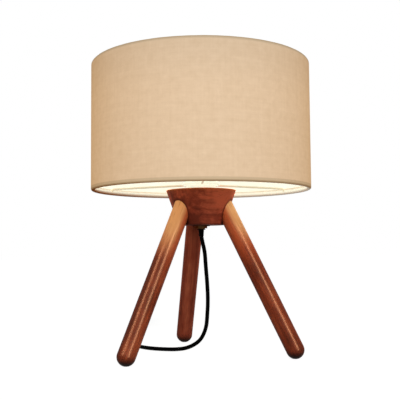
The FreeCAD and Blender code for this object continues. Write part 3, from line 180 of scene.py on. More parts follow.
class Graph:
    """A material's nodes, with short calls that make and link them."""

    def __init__(self, name, **settings):
        self.material, self.nodes, self.links = new_material(name)
        self.shader = self.nodes["Principled BSDF"]
        for key, value in settings.items():
            self.shader.inputs[key.replace("_", " ")].default_value = value
        self.place = self.nodes.new("ShaderNodeTexCoord").outputs["Object"]

    def set(self, node, socket, value):
        if isinstance(value, bpy.types.NodeSocket):
            self.links.new(value, node.inputs[socket])
        else:
            node.inputs[socket].default_value = value

    def mapping(self, scale=(1, 1, 1), location=(0, 0, 0), rotation=(0, 0, 0), kind="POINT", source=None):
        node = self.nodes.new("ShaderNodeMapping")
        node.vector_type = kind
        self.links.new(source or self.place, node.inputs["Vector"])
        node.inputs["Scale"].default_value = scale
        node.inputs["Location"].default_value = location
        node.inputs["Rotation"].default_value = rotation
        return node.outputs["Vector"]

    def noise(self, source, scale, detail=4.0, rough=0.55, distort=0.0):
        node = self.nodes.new("ShaderNodeTexNoise")
        self.links.new(source, node.inputs["Vector"])
        node.inputs["Scale"].default_value = scale
        node.inputs["Detail"].default_value = detail
        node.inputs["Roughness"].default_value = rough
        node.inputs["Distortion"].default_value = distort
        return node.outputs["Fac"]

    def math(self, operation, first, second=0.0, clamp=False):
        node = self.nodes.new("ShaderNodeMath")
        node.operation = operation
        node.use_clamp = clamp
        for number, value in enumerate((first, second)):
            self.set(node, number, value)
        return node.outputs[0]

    def vector(self, operation, first, second=(0, 0, 0), out="Vector"):
        node = self.nodes.new("ShaderNodeVectorMath")
        node.operation = operation
        for number, value in enumerate((first, second)):
            self.set(node, number, value)
        return node.outputs[out]

    def split(self, source):
        node = self.nodes.new("ShaderNodeSeparateXYZ")
        self.links.new(source, node.inputs[0])
        return node.outputs

    def join(self, x, y, z):
        node = self.nodes.new("ShaderNodeCombineXYZ")
        for number, value in enumerate((x, y, z)):
            self.set(node, number, value)
        return node.outputs[0]

    def away(self):
        """How far a place is from the lamp's axis."""
        x, y = self.split(self.place)[0:2]
        return self.math("SQRT", self.math("ADD", self.math("MULTIPLY", x, x), self.math("MULTIPLY", y, y)))

    def unrolled(self):
        """A place on the shade by its distance round the drum and its height."""
        x, y, z = self.split(self.place)[0:3]
        around = self.math("MULTIPLY", self.math("ARCTAN2", y, x), SHADE_RADIUS)
        return around, self.join(around, z, 0.0)

    def remap(self, value, low, high, out_low=0.0, out_high=1.0):
        node = self.nodes.new("ShaderNodeMapRange")
        node.interpolation_type = "SMOOTHSTEP"
        for number, item in enumerate((value, low, high, out_low, out_high)):
            self.set(node, number, item)
        return node.outputs[0]

    def ramp(self, value, stops):
        node = self.nodes.new("ShaderNodeValToRGB")
        self.links.new(value, node.inputs["Fac"])
        ramp = node.color_ramp
        while len(ramp.elements) < len(stops):
            ramp.elements.new(0.5)
        for element, (position, colour) in zip(ramp.elements, stops):
            element.position = position
            element.color = (*colour, 1.0)
        return node.outputs["Color"]

    def mix(self, share, first, second, kind="MIX"):
        node = self.nodes.new("ShaderNodeMix")
        node.data_type = "RGBA"
        node.blend_type = kind
        self.set(node, 0, share)
        for number, value in ((6, first), (7, second)):
            self.set(node, number, value if isinstance(value, bpy.types.NodeSocket) else (*value, 1.0))
        return node.outputs[2]

    def out(self, socket, value):
        self.links.new(value, self.shader.inputs[socket])

    def bump(self, height, distance, strength=1.0):
        node = self.nodes.new("ShaderNodeBump")
        node.inputs["Strength"].default_value = strength
        node.inputs["Distance"].default_value = distance
        self.links.new(height, node.inputs["Height"])
        self.links.new(node.outputs["Normal"], self.shader.inputs["Normal"])


def srgb(red, green, blue):
    """A colour as a picture shows it, from 0 to 255, as the linear values that a shader takes."""
    return tuple((v / 255 / 12.92) if v / 255 <= 0.04045 else ((v / 255 + 0.055) / 1.055) ** 2.4
                 for v in (red, green, blue))


LEG_SPLAY = math.radians(26.4)
LEG_AZIMUTHS = {"leg_front_left": 222.4, "leg_front_right": 342.4, "leg_rear": 102.4}
FOOT_CIRCLE, FOOT_HEIGHT = 0.127, 0.0116


def leg_line(azimuth):
    """The centre of a leg's foot, and the direction up the leg."""
    a = math.radians(azimuth)
    out = Vector((math.cos(a), math.sin(a), 0))
    return (FOOT_CIRCLE * out + Vector((0, 0, FOOT_HEIGHT)),
            Vector((0, 0, math.cos(LEG_SPLAY))) - math.sin(LEG_SPLAY) * out)


def leg_turn(azimuth):
    return Matrix.Rotation(math.radians(azimuth), 3, "Z") @ Matrix.Rotation(-LEG_SPLAY, 3, "Y")


LEG_TONES = [srgb(86, 33, 16), srgb(126, 51, 27), srgb(170, 80, 46)]
# painted light: the gold of the front legs' upper ends, where the lamp's light falls
LEG_LAMPLIT = [srgb(204, 146, 94), srgb(236, 188, 132)]
HUB_TONES = [srgb(108, 44, 30), srgb(153, 66, 45), srgb(206, 98, 68)]
REAR_TONES = [srgb(108, 44, 27), srgb(156, 71, 48), srgb(198, 106, 72)]
# painted light and shade: the legs' red and the hub's light rim stand for the lamp's light, and the dark
# round the legs and at the feet is painted shade
LAMPLIT_RED, RIM_HIGHLIGHT = srgb(196, 88, 48), srgb(214, 120, 64)
JOINT_SHADE, FOOT_SHADE = srgb(44, 18, 11), srgb(12, 4, 2)
# the hub's heights, where its top's rim begins and ends, and a leg's radius
HUB_LOW, HUB_HIGH, RIM_IN, RIM_OUT, DOWEL = 0.1755, 0.2235, 0.0455, 0.0472, 0.012


def painted_lamp_light(g, colour, tone, local, at, turn, ends, shaded_side):
    """Painted lamp light on a front leg: redder and then pale gold towards the hub, where the lamp's light
    falls. ends are the two heights up the leg between which the gold comes in, and between the two places
    across it in shaded_side, its shaded side, the gold mostly gives way again."""
    height = g.split(local)[2]
    colour = g.mix(g.remap(height, 0.105, 0.185, 0.0, 0.7), colour, LAMPLIT_RED)
    lean = (turn.to_matrix() @ Vector((0, 0, 1))).x
    across = g.math("SUBTRACT", g.math("SUBTRACT", g.split(g.place)[0], at[0]),
                    g.math("MULTIPLY", height, lean))
    thin = g.math("MULTIPLY", g.remap(height, *ends), g.remap(across, *shaded_side, 1.0, 0.08))
    return g.mix(thin, colour, g.ramp(tone, [(0.42, LEG_LAMPLIT[0]), (0.62, LEG_LAMPLIT[1])]))


def darker_band(g, tone, cloud):
    """The hub's tone with an uneven darker band down its front, a little to the left."""
    sway = g.math("MULTIPLY", g.math("SUBTRACT", cloud, 0.5), 0.03)
    offset = g.math("ABSOLUTE", g.math("ADD", g.math("ADD", g.split(g.place)[0], 0.009), sway))
    return g.math("SUBTRACT", tone, g.remap(offset, 0.002, 0.012, 0.06, 0.0))


def painted_rim_and_joint_shade(g, colour):
    """Painted light and shade on the hub: a lighter rim, which is a painted highlight, painted shade at its
    lowest edge and round the legs, and a darker flat top.
    """
    z, away = g.split(g.place)[2], g.away()
    rim = g.math("MULTIPLY", g.remap(z, HUB_HIGH - 0.0027, HUB_HIGH - 0.0009, 0.0, 0.7),
                 g.remap(away, RIM_IN, RIM_OUT))
    colour = g.mix(rim, colour, RIM_HIGHLIGHT)
    flat_top = g.math("MULTIPLY", g.remap(z, HUB_HIGH - 0.0017, HUB_HIGH - 0.0002, 0.0, 0.55),
                      g.remap(away, RIM_IN, RIM_OUT, 1.0, 0.0))
    dark = g.math("MAXIMUM", g.remap(z, HUB_LOW + 0.0002, HUB_LOW + 0.0025, 0.55, 0.0), flat_top)
    low = g.remap(z, HUB_LOW + 0.0020, HUB_LOW + 0.0105, 1.0, 0.0)
    for azimuth in LEG_AZIMUTHS.values():
        foot, along = leg_line(azimuth)
        across = g.vector("CROSS_PRODUCT", g.vector("SUBTRACT", g.place, foot), along)
        distance = g.vector("LENGTH", across, out="Value")
        dark = g.math("MAXIMUM", dark, g.remap(distance, DOWEL - 0.0002, DOWEL + 0.0045, 0.75, 0.0))
        beside = g.remap(distance, DOWEL + 0.0005, DOWEL + 0.0065, 1.0, 0.0)
        dark = g.math("MAXIMUM", dark, g.math("MULTIPLY", low, beside))
    return g.mix(dark, colour, JOINT_SHADE)


def wood(name, tones, at, turn, lacquer=0.1, gloss=0.25, mix=(0.50, 0.30, 0.26), cloud_scale=22.0,
         seed=0.0, painted_light_slope=None, ends=None, shaded_side=None, joints=False):
    """Stained and lacquered wood whose grain runs along the local Z of the place given. mix weighs the
    broad grain, the figure and the clouds, and paler is the direction in which the tone gains, by how much
    a metre: painted light and shade. ends and shaded_side are for painted_lamp_light, the painted lamp
    light on a front leg, and joints gives the hub its darker band and its painted shade and highlight."""
    g = Graph(name, Specular_IOR_Level=0.02, Coat_Weight=lacquer, Coat_Roughness=gloss, Roughness=0.6,
              Coat_Tint=(1.0, 0.72, 0.5, 1.0), Sheen_Weight=0.05, Sheen_Roughness=0.3,
              Sheen_Tint=(1.0, 0.42, 0.18, 1.0))
    local = g.mapping(location=at, rotation=turn, kind="TEXTURE")

    def grain(stretch, location, *settings):
        return g.noise(g.mapping(scale=(1, 1, stretch), location=location, source=local), *settings)

    broad = grain(0.05, (seed, seed * 2, seed), 48, 3, 0.5, 0.5)
    figure = grain(0.09, (seed, 0, seed), 150, 4, 0.6, 0.3)
    pores = grain(0.03, (0, seed, 0), 1000, 2, 0.6)
    cloud = grain(1, (seed, seed, 0), cloud_scale, 3, 0.6)
    tone = g.math("ADD", g.math("MULTIPLY", broad, mix[0]), g.math("MULTIPLY", figure, mix[1]))
    tone = g.math("ADD", tone, g.math("MULTIPLY", cloud, mix[2]))
    # painted light and shade: the tone rises towards the lit side
    if painted_light_slope:
        slope = g.vector("DOT_PRODUCT", g.vector("SUBTRACT", g.place, at), painted_light_slope, out="Value")
        tone = g.math("ADD", tone, slope)
    if joints:
        tone = darker_band(g, tone, cloud)
    colour = g.ramp(tone, [(0.42, tones[0]), (0.52, tones[1]), (0.63, tones[2])])
    if ends:
        colour = painted_lamp_light(g, colour, tone, local, at, turn, ends, shaded_side)
    if joints:
        colour = painted_rim_and_joint_shade(g, colour)
    # painted shade: darker towards the floor, on the undersides of the feet
    colour = g.mix(g.remap(g.split(g.place)[2], 0.0020, 0.0150, 1.0, 0.0), colour, FOOT_SHADE)
    pore_mask = g.remap(pores, 0.56, 0.70)
    colour = g.mix(g.math("MULTIPLY", pore_mask, 0.4), colour, tones[0], "MULTIPLY")
    g.out("Base Color", colour)
    relief = g.math("SUBTRACT", g.math("MULTIPLY", figure, 0.25), g.math("MULTIPLY", pore_mask, 0.5))
    g.bump(relief, 0.00006, 0.06)
    return g.material


def plastic(name, colour, roughness, grain=900.0, depth=0.00004, **settings):
    """Moulded plastic: a fine spark-eroded grain, with slight changes of tone and gloss."""
    g = Graph(name, **settings)
    broad = g.noise(g.place, 45, 3)
    fine = g.noise(g.place, grain, 3, 0.6)
    dark = tuple(v * 0.86 for v in colour)
    g.out("Base Color", g.ramp(broad, [(0.3, dark), (0.7, colour)]))
    g.out("Roughness", g.remap(fine, 0.3, 0.7, roughness * 0.85, min(1.0, roughness * 1.15)))
    g.bump(fine, depth, 0.5)
    return g.material


def metal(name, colour, roughness, brushed=(1, 1, 1), **settings):
    g = Graph(name, Metallic=1.0, **settings)
    marks = g.noise(g.mapping(scale=brushed), 700, 4, 0.6)
    cloud = g.noise(g.place, 60, 3)
    dark = tuple(v * 0.78 for v in colour)
    g.out("Base Color", g.ramp(cloud, [(0.3, dark), (0.7, colour)]))
    g.out("Roughness", g.remap(marks, 0.3, 0.7, roughness * 0.7, roughness * 1.35))
    g.bump(marks, 0.00003, 0.35)
    return g.material


YARN_PITCH, UPPER_CLOTH = 0.00055, (0.325, 0.40)


def shade_cloth():
    """A plain weave of slubbed yarn. Its glow stands for the lamp's light that shows through it, which is
    less where it is folded and towards the top."""
    g = Graph("shade_cloth", Roughness=0.95, Sheen_Weight=0.03, Sheen_Roughness=0.5,
              Sheen_Tint=(1.0, 0.75, 0.5, 1.0), Specular_IOR_Level=0.0, Emission_Strength=1.0)
    place = g.split(g.place)
    x, z = place[0], place[2]
    around, flat = g.unrolled()
    weft_slub = g.noise(g.mapping(scale=(0.10, 1.0, 1), source=flat), 900, 3, 0.6)
    warp_slub = g.noise(g.mapping(scale=(1.0, 0.08, 1), source=flat), 900, 3, 0.6)
    pitch = 2 * math.pi / YARN_PITCH
    weft = g.math("SINE", g.math("ADD", g.math("MULTIPLY", z, pitch), g.math("MULTIPLY", weft_slub, 2.0)))
    warp = g.math("SINE", g.math("ADD", g.math("MULTIPLY", around, pitch),
                                 g.math("MULTIPLY", warp_slub, 2.0)))
    threads = g.math("MULTIPLY", weft, warp)
    wide_weft = g.noise(g.mapping(scale=(0.05, 1.0, 1), source=flat), 260, 2, 0.5)
    wide_warp = g.noise(g.mapping(scale=(1.0, 0.05, 1), source=flat), 260, 2, 0.5)
    slub = g.math("ADD", g.math("MULTIPLY", wide_weft, 0.5), g.math("MULTIPLY", wide_warp, 0.5))
    fine = g.math("ADD", g.math("MULTIPLY", weft_slub, 0.5), g.math("MULTIPLY", warp_slub, 0.5))
    cloud = g.noise(flat, 110, 3, 0.6)
    tone = g.math("ADD", g.math("MULTIPLY", slub, 0.36), g.math("MULTIPLY", fine, 0.25))
    tone = g.math("ADD", tone, g.math("MULTIPLY", cloud, 0.39))
    base = g.ramp(tone, [(0.36, (0.48, 0.485, 0.43)), (0.5, (0.51, 0.52, 0.47)),
                         (0.64, (0.54, 0.555, 0.51))])
    # folded edges: less light comes through, and the cloth looks greyer; the creases are painted darker
    # still, painted shade where the cloth turns round its wires
    low_fold = g.remap(z, SHADE_LOW + 0.0048, SHADE_LOW + 0.0060, 1.0, 0.0)
    high_fold = g.remap(z, SHADE_HIGH - 0.0046, SHADE_HIGH - 0.0030)
    fold = g.math("MAXIMUM", low_fold, high_fold)
    low_crease = g.remap(z, SHADE_LOW + 0.0014, SHADE_LOW + 0.0030, 1.0, 0.0)
    high_crease = g.remap(z, SHADE_HIGH - 0.0030, SHADE_HIGH - 0.0014)
    crease = g.math("MAXIMUM", low_crease, high_crease)
    # painted shade: the cloth's own colour darkens a little towards the top
    base = g.mix(g.math("MULTIPLY", g.remap(z, *UPPER_CLOTH), 0.08), base, (0, 0, 0))
    base = g.mix(fold, base, (0.47, 0.46, 0.38))
    base = g.mix(crease, base, (0.44, 0.37, 0.27))
    # painted shade: the lowest edge is darker and browner, most of all at the left
    turn = g.math("ADD", 0.68, g.math("MULTIPLY", g.math("DIVIDE", x, SHADE_RADIUS), -0.32))
    under = g.math("MULTIPLY", g.remap(z, SHADE_LOW + 0.0002, SHADE_LOW + 0.0012, 1.0, 0.0), turn)
    base = g.mix(under, base, (0.36, 0.12, 0.03))
    glow = g.ramp(tone, [(0.36, (0.388, 0.182, 0.032)), (0.5, (0.413, 0.198, 0.040)),
                         (0.64, (0.438, 0.215, 0.048))])
    spread = g.remap(z, *UPPER_CLOTH, 1.0, 0.88)
    dull = g.math("ADD", g.math("MULTIPLY", fold, 0.3), g.math("MULTIPLY", crease, 0.3))
    open_cloth = g.math("MULTIPLY", spread, g.math("SUBTRACT", 1.0, dull))
    glow = g.mix(g.math("SUBTRACT", 1.0, open_cloth, clamp=True), glow, (0, 0, 0))
    glow = g.mix(g.remap(z, SHADE_LOW + 0.0003, SHADE_LOW + 0.0010, 1.0, 0.0), glow, (0.13, 0.045, 0.008))
    # the turned-in edge takes the lamp's light straight on; low down, most of all at the left, it is
    # painted darker and browner, painted shade
    inside = g.remap(g.away(), SHADE_RADIUS - 0.0024, SHADE_RADIUS - 0.0008, 1.0, 0.0)
    reach = g.math("ADD", SHADE_LOW + 0.0022, g.math("MULTIPLY", turn, 0.0052))
    brown = g.math("MULTIPLY", g.remap(z, SHADE_LOW + 0.0008, reach, 1.0, 0.0),
                   g.math("ADD", 0.25, g.math("MULTIPLY", turn, 0.75)))
    g.out("Base Color", g.mix(inside, base, g.mix(brown, (0.83, 0.80, 0.70), (0.40, 0.13, 0.03))))
    g.out("Emission Color", g.mix(inside, glow, g.mix(brown, (0.60, 0.58, 0.48), (0.06, 0.016, 0.002))))
    relief = g.math("ADD", g.math("MULTIPLY", threads, 0.35), g.math("MULTIPLY", tone, 0.7))
    g.bump(relief, 0.00008, 0.45)
    return g.material


def lining_film():
    """The shade's pale inner film, which the lamp lights most low down."""
    g = Graph("lining_film", Roughness=0.42, Specular_IOR_Level=0.35, Emission_Strength=1.0)
    z, flat = g.split(g.place)[2], g.unrolled()[1]
    cloud = g.noise(flat, 30, 3)
    weave = g.noise(g.mapping(scale=(0.15, 1, 1), source=flat), 700, 2)
    g.out("Base Color", g.ramp(cloud, [(0.3, (0.80, 0.76, 0.66)), (0.7, (0.87, 0.84, 0.75))]))
    low = g.ramp(cloud, [(0.3, (0.63, 0.62, 0.53)), (0.7, (0.68, 0.67, 0.58))])
    high = g.ramp(cloud, [(0.3, (0.24, 0.22, 0.15)), (0.7, (0.27, 0.25, 0.18))])
    g.out("Emission Color", g.mix(g.remap(z, SHADE_LOW + 0.016, SHADE_LOW + 0.075), low, high))
    g.bump(weave, 0.00004, 0.3)
    return g.material


def opal():
    """The bulb's globe, which glows and is dimmer towards its neck."""
    g = Graph("opal", Roughness=0.32, Coat_Weight=0.3, Emission_Strength=1.0)
    z = g.split(g.place)[2]
    fine = g.noise(g.place, 500, 2)
    glow = g.remap(z, 0.300, 0.335, 0.72, 1.0)
    g.out("Base Color", g.ramp(fine, [(0.3, (0.93, 0.90, 0.84)), (0.7, (0.97, 0.95, 0.90))]))
    g.out("Emission Color", g.mix(glow, (0.10, 0.06, 0.02), (0.26, 0.20, 0.10)))
    g.bump(fine, 0.00003, 0.3)
    return g.material


def board():
    g = Graph("circuit_board", Roughness=0.4, Coat_Weight=0.4)
    spots = g.noise(g.place, 260, 1)
    fine = g.noise(g.place, 900, 2)
    g.out("Base Color", g.ramp(spots, [(0.45, (0.03, 0.16, 0.07)), (0.55, (0.05, 0.25, 0.11)),
                                       (0.62, (0.7, 0.66, 0.5))]))
    g.bump(fine, 0.00005, 0.4)
    return g.material


def sheath(name, colour, roughness=0.7):
    """The cord's soft sheath: faint draw marks and a little dust."""
    g = Graph(name, Specular_IOR_Level=0.02)
    fine = g.noise(g.place, 1200, 3, 0.6)
    dust = g.noise(g.place, 70, 4, 0.6)
    light = tuple(v * 1.8 for v in colour)
    g.out("Base Color", g.ramp(dust, [(0.45, colour), (0.8, light)]))
    g.out("Roughness", g.remap(fine, 0.3, 0.7, roughness * 0.85, roughness * 1.2))
    g.bump(fine, 0.00003, 0.4)
    return g.material


HUB_PLACE, HUB_GRAIN = (0, 0, 0.184), (0, math.pi / 2, 0.4)
# the slopes of tone on the front legs are painted light and shade, and their ends and sides place the
# painted lamp light on their upper ends
LEG_LOOKS = {
    "leg_front_left": dict(tones=LEG_TONES, painted_light_slope=(5.5, 0, -2.7), ends=(0.128, 0.182),
                           shaded_side=(0.003, 0.0095)),
    "leg_front_right": dict(tones=LEG_TONES, painted_light_slope=(1.2, 0, 0.6), ends=(0.142, 0.190),
                            shaded_side=(0.005, -0.004)),
    "leg_rear": dict(tones=REAR_TONES, lacquer=0.08, gloss=0.45),
}
# the hub's slope of tone is painted light, lighter to the right and towards its top, and joints adds its
# darker band and its painted shade and highlight
node_materials = {"hub": wood("hub_wood", HUB_TONES, HUB_PLACE, HUB_GRAIN, lacquer=0.06, gloss=0.45,
                              mix=(0.35, 0.35, 0.35), cloud_scale=45.0, seed=3.0, painted_light_slope=(2.4, 0, 2.4),
                              joints=True)}
for leg, azimuth in LEG_AZIMUTHS.items():
    node_materials[leg] = wood(leg + "_wood", at=leg_line(azimuth)[0], turn=leg_turn(azimuth).to_euler(),
                               seed=azimuth / 50, **LEG_LOOKS[leg])

# painted light: the wires' white paint is tinted warm and glows, for the lamp's light on them
lamplit_white_paint = plastic("lamplit_white_paint", (0.90, 0.80, 0.60), 0.45, 1400, 0.00003, Coat_Weight=0.1,
                      Emission_Strength=0.3, Emission_Color=(1.0, 0.90, 0.66, 1.0))
# thin white plastic beside a bulb lets a little light through; its greenish-white glow here is painted
# light for the lamp's light on it
lamplit_holder_white = plastic("lamplit_holder_white", (0.86, 0.85, 0.80), 0.35, 800, 0.00002, Coat_Weight=0.1,
                       Emission_Strength=0.6, Emission_Color=(0.82, 0.92, 0.74, 1.0))
bulb_white = plastic("bulb_white", (0.82, 0.82, 0.80), 0.35, 800, 0.00002)
black_moulded = plastic("black_moulded", (0.018, 0.018, 0.019), 0.42, 700, 0.00006)
black_gloss = plastic("black_gloss", (0.012, 0.012, 0.013), 0.18, 900, 0.00002, Coat_Weight=0.4)
ceramic = plastic("ceramic", (0.74, 0.71, 0.64), 0.6, 500, 0.00006)
lead_white = plastic("lead_white", (0.75, 0.75, 0.73), 0.4, 900, 0.00003)
zinc = metal("zinc", (0.60, 0.58, 0.53), 0.32, (1, 1, 8))
nickel = metal("nickel", (0.72, 0.70, 0.66), 0.2, (1, 1, 10))
brass = metal("brass", (0.80, 0.58, 0.24), 0.25, (1, 1, 6))
# painted shade: the brass and bronze below the hub are made nearly black for the shade there
brass_in_shade = metal("brass_in_shade", (0.07, 0.032, 0.012), 0.3, (1, 1, 6), Specular_Tint=(0.4, 0.22, 0.10, 1.0))
bronze_in_shade = metal("bronze_in_shade", (0.06, 0.024, 0.014), 0.5, (1, 1, 6), Specular_Tint=(0.3, 0.13, 0.07, 1.0))
black_sheath = sheath("black_sheath", (0.0012, 0.0011, 0.0011))
cloth = shade_cloth()
film = lining_film()
circuit = board()
MATERIALS = [
    (zinc, ["leg_bolts", "top_washer", "top_nut", "holder_terminals", "rocker_pin",
            "switch_screws"]),
    (brass_in_shade, ["base_nut", "threaded_tube"]),
    (brass, ["leg_inserts", "centre_contact", "side_contact", "rocker_contact",
             "switch_terminals"]),
    (bronze_in_shade, ["base_washer"]),
    (nickel, ["holder_shell", "bulb_contact", "bulb_cap", "plug_pins"]),
    (lamplit_holder_white, ["holder_cap", "holder_skirt", "ring_nut", "fitter_ring"]),
    (ceramic, ["contact_block"]),
    (lamplit_white_paint, ["shade_top_ring", "shade_bottom_ring", "fitter_arms"]),
    (film, ["shade_liner", "liner_seam"]),
    (cloth, ["shade_fabric"]),
    (opal(), ["bulb_globe"]),
    (bulb_white, ["bulb_housing"]),
    (circuit, ["bulb_board", "bulb_driver"]),
    (black_gloss, ["bulb_insulator", "switch_rocker"]),
    (black_moulded, ["switch_base", "switch_cover", "hank_tie", "plug_body", "plug_boot"]),
    (black_sheath, ["cord_riser", "cord_sleeve"]),
    (lead_white, ["holder_leads", "switch_leads"]),
]
for material, names in MATERIALS:
    for name in names:
        node_materials[name] = material


def dress(piece, material):
    if not piece.material_slots:
        piece.data.materials.append(material)
    for slot in piece.material_slots:
        slot.material = material


for name, material in node_materials.items():
    dress(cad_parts[name], material)
for piece in (lamp_cord, mains_cord):
    dress(piece, black_sheath)


# ---------------------------------------------------------------- shade
def revolve(name, profile, segments, shift=None, closed=True, frame_of=None):
    """A mesh turned about Z from (radius, height) points in millimetres; shift(angle, r, z) moves them,
    and frame_of places the whole. Nothing goes below the floor."""
    mesh = bpy.data.meshes.new(name)
    bm = bmesh.new()
    rings = []
    for number in range(segments):
        angle = 2 * math.pi * number / segments
        ring = []
        for r, z in profile:
            if shift:
                r, z = shift(angle, r, z)
            ring.append(bm.verts.new((r * math.cos(angle) * MM, r * math.sin(angle) * MM, z * MM)))
        rings.append(ring)
    count = len(profile)
    for number in range(segments):
        here, after = rings[number], rings[(number + 1) % segments]
        for k in range(count if closed else count - 1):
            m = (k + 1) % count
            bm.faces.new((here[k], after[k], after[m], here[m]))
    if frame_of:
        bmesh.ops.transform(bm, matrix=frame_of, verts=bm.verts)
        for vertex in bm.verts:
            vertex.co.z = max(vertex.co.z, 0.0)
    bmesh.ops.remove_doubles(bm, verts=bm.verts, dist=1e-7)
    bmesh.ops.recalc_face_normals(bm, faces=bm.faces)
    for face in bm.faces:
        face.smooth = True
    bm.to_mesh(mesh)
    bm.free()
    mesh.set_sharp_from_angle(angle=math.radians(50))
    piece = bpy.data.objects.new(name, mesh)
    scene.collection.objects.link(piece)
    return piece


CLOTH, LINER, WIRE, PLAY = 0.6, 0.5, 1.5, 0.1
HEM_DEPTH, HEM_LIE = 9.0, 7.0
WIRE_CIRCLE = DRUM_RADIUS - CLOTH - LINER - PLAY - WIRE
FOLD_OUT = DRUM_RADIUS - WIRE_CIRCLE
FOLD_IN = FOLD_OUT - CLOTH
SIDE_STEPS, ARC_STEP = 24, 15


def arc(height, radius, first, last):
    """Points round a wire whose middle is at this height, from one angle in degrees to another."""
    step = ARC_STEP if last > first else -ARC_STEP
    angles = [math.radians(turn) for turn in range(first, last + step, step)]
    return [(WIRE_CIRCLE + radius * math.cos(a), height + radius * math.sin(a)) for a in angles]


def drum_profile():
    """Half section of the cloth: up the outside, over both wires, and back down inside to its raw edge."""
    low_wire, high_wire = DRUM_LOW + FOLD_OUT, DRUM_HIGH - FOLD_OUT
    side = DRUM_HIGH - DRUM_LOW - 2 * FOLD_OUT
    inside = DRUM_RADIUS - CLOTH - LINER
    outer = [(inside - CLOTH, DRUM_LOW + HEM_DEPTH), (inside - CLOTH, DRUM_LOW + HEM_LIE)]
    outer += arc(low_wire, FOLD_OUT, 180, 360)
    outer += [(DRUM_RADIUS, low_wire + side * step / SIDE_STEPS) for step in range(1, SIDE_STEPS)]
    outer += arc(high_wire, FOLD_OUT, 0, 180)
    outer += [(inside - CLOTH, DRUM_HIGH - HEM_LIE), (inside - CLOTH, DRUM_HIGH - HEM_DEPTH)]
    inner = [(inside, DRUM_HIGH - HEM_DEPTH), (inside, DRUM_HIGH - HEM_LIE)]
    inner += arc(high_wire, FOLD_IN, 180, 0)
    inner += arc(low_wire, FOLD_IN, 360, 180)
    inner += [(inside, DRUM_LOW + HEM_LIE), (inside, DRUM_LOW + HEM_DEPTH)]
    return outer + inner


SEAM_AZIMUTH, SEAM_THICK, SEAM_HALF = math.radians(90), 0.38, 6.0
BULGE, EDGE_WAVE = 0.12, 0.10


def clamped(value):
    return max(0.0, min(1.0, value))


def cloth_shift(angle, r, z):
    """The lapped seam at the back, and the slight unevenness of a hand-turned edge."""
    away = (angle - SEAM_AZIMUTH) * DRUM_RADIUS
    if r > DRUM_RADIUS - 0.1:
        # the lap steps up at one side and runs out at the other
        r += SEAM_THICK * clamped((away + SEAM_HALF) / 0.8) * clamped((SEAM_HALF + 0.5 - away) / SEAM_HALF)
    wave = noise.noise(Vector((math.cos(angle) * 9, math.sin(angle) * 9, z * 0.004)))
    edge = max(0.0, 1.0 - min(z - DRUM_LOW, DRUM_HIGH - z) / HEM_DEPTH)
    r += BULGE * wave
    z += EDGE_WAVE * edge * noise.noise(Vector((math.cos(angle) * 16, math.sin(angle) * 16, 7.0)))
    return r, z


shade = revolve("shade_cloth_drum", drum_profile(), 360, cloth_shift)
dress(shade, cloth)
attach(shade, "shade")
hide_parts("shade_fabric")


# ---------------------------------------------------------------- legs
LEG_RADIUS, LEG_REACH, BOLT_RADIUS, BOLT_DEPTH, END_BEVEL = 12.0, 213.81, 3.0, 28.0, 0.6
# rings up a leg, and how much of its upper end is in the hub and stays true
LEG_STEPS, HUB_HIDES = 70, 20.0


def dowel_profile():
    """Half section of a leg: the round foot, the long side, and the bored upper end inside the hub."""
    points = [(LEG_RADIUS * math.sin(math.radians(t)), -LEG_RADIUS * math.cos(math.radians(t)))
              for t in range(0, 90, 5)]
    body = LEG_REACH - END_BEVEL
    points += [(LEG_RADIUS, body * step / LEG_STEPS) for step in range(LEG_STEPS + 1)]
    return points + [(LEG_RADIUS - END_BEVEL, LEG_REACH), (BOLT_RADIUS, LEG_REACH),
                     (BOLT_RADIUS, LEG_REACH - BOLT_DEPTH), (0, LEG_REACH - BOLT_DEPTH)]


def turned_by_hand(angle, r, z):
    """A dowel is never quite round or straight."""
    if 0.0 < z < LEG_REACH - HUB_HIDES and r > BOLT_RADIUS + 1:
        r += 0.07 * noise.noise(Vector((math.cos(angle), math.sin(angle), z * 0.02)))
    return r, z


# the hub first, and then the legs: some lights are for these alone
wooden = [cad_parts["hub"]]
for leg, azimuth in LEG_AZIMUTHS.items():
    place = Matrix.Translation(leg_line(azimuth)[0]) @ leg_turn(azimuth).to_4x4()
    piece = revolve("turned_" + leg, dowel_profile(), 96, turned_by_hand, closed=False, frame_of=place)
    dress(piece, node_materials[leg])
    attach(piece, "stand")
    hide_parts(leg)
    wooden.append(piece)

# ---------------------------------------------------------------- floor, world and lights
FLOOR_HALF, FLOOR_AT = 6.0, (0, 2.0, -0.0002)
floor_data = bpy.data.meshes.new("floor")
bm = bmesh.new()
bmesh.ops.create_grid(bm, x_segments=8, y_segments=8, size=FLOOR_HALF)
bm.to_mesh(floor_data)
bm.free()
floor = bpy.data.objects.new("floor", floor_data)
floor.location = FLOOR_AT
scene.collection.objects.link(floor)


def plainly_seen(nodes, links):
    """1 for the camera's rays and for those that come by way of a gloss or a clear piece, 0 for others."""
    ray = nodes.new("ShaderNodeLightPath")
    seen = ray.outputs["Is Camera Ray"]
    for kind in ("Is Glossy Ray", "Is Transmission Ray"):
        either = nodes.new("ShaderNodeMath")
        either.operation = "MAXIMUM"
        links.new(seen, either.inputs[0])
        links.new(ray.outputs[kind], either.inputs[1])
        seen = either.outputs[0]
    return seen


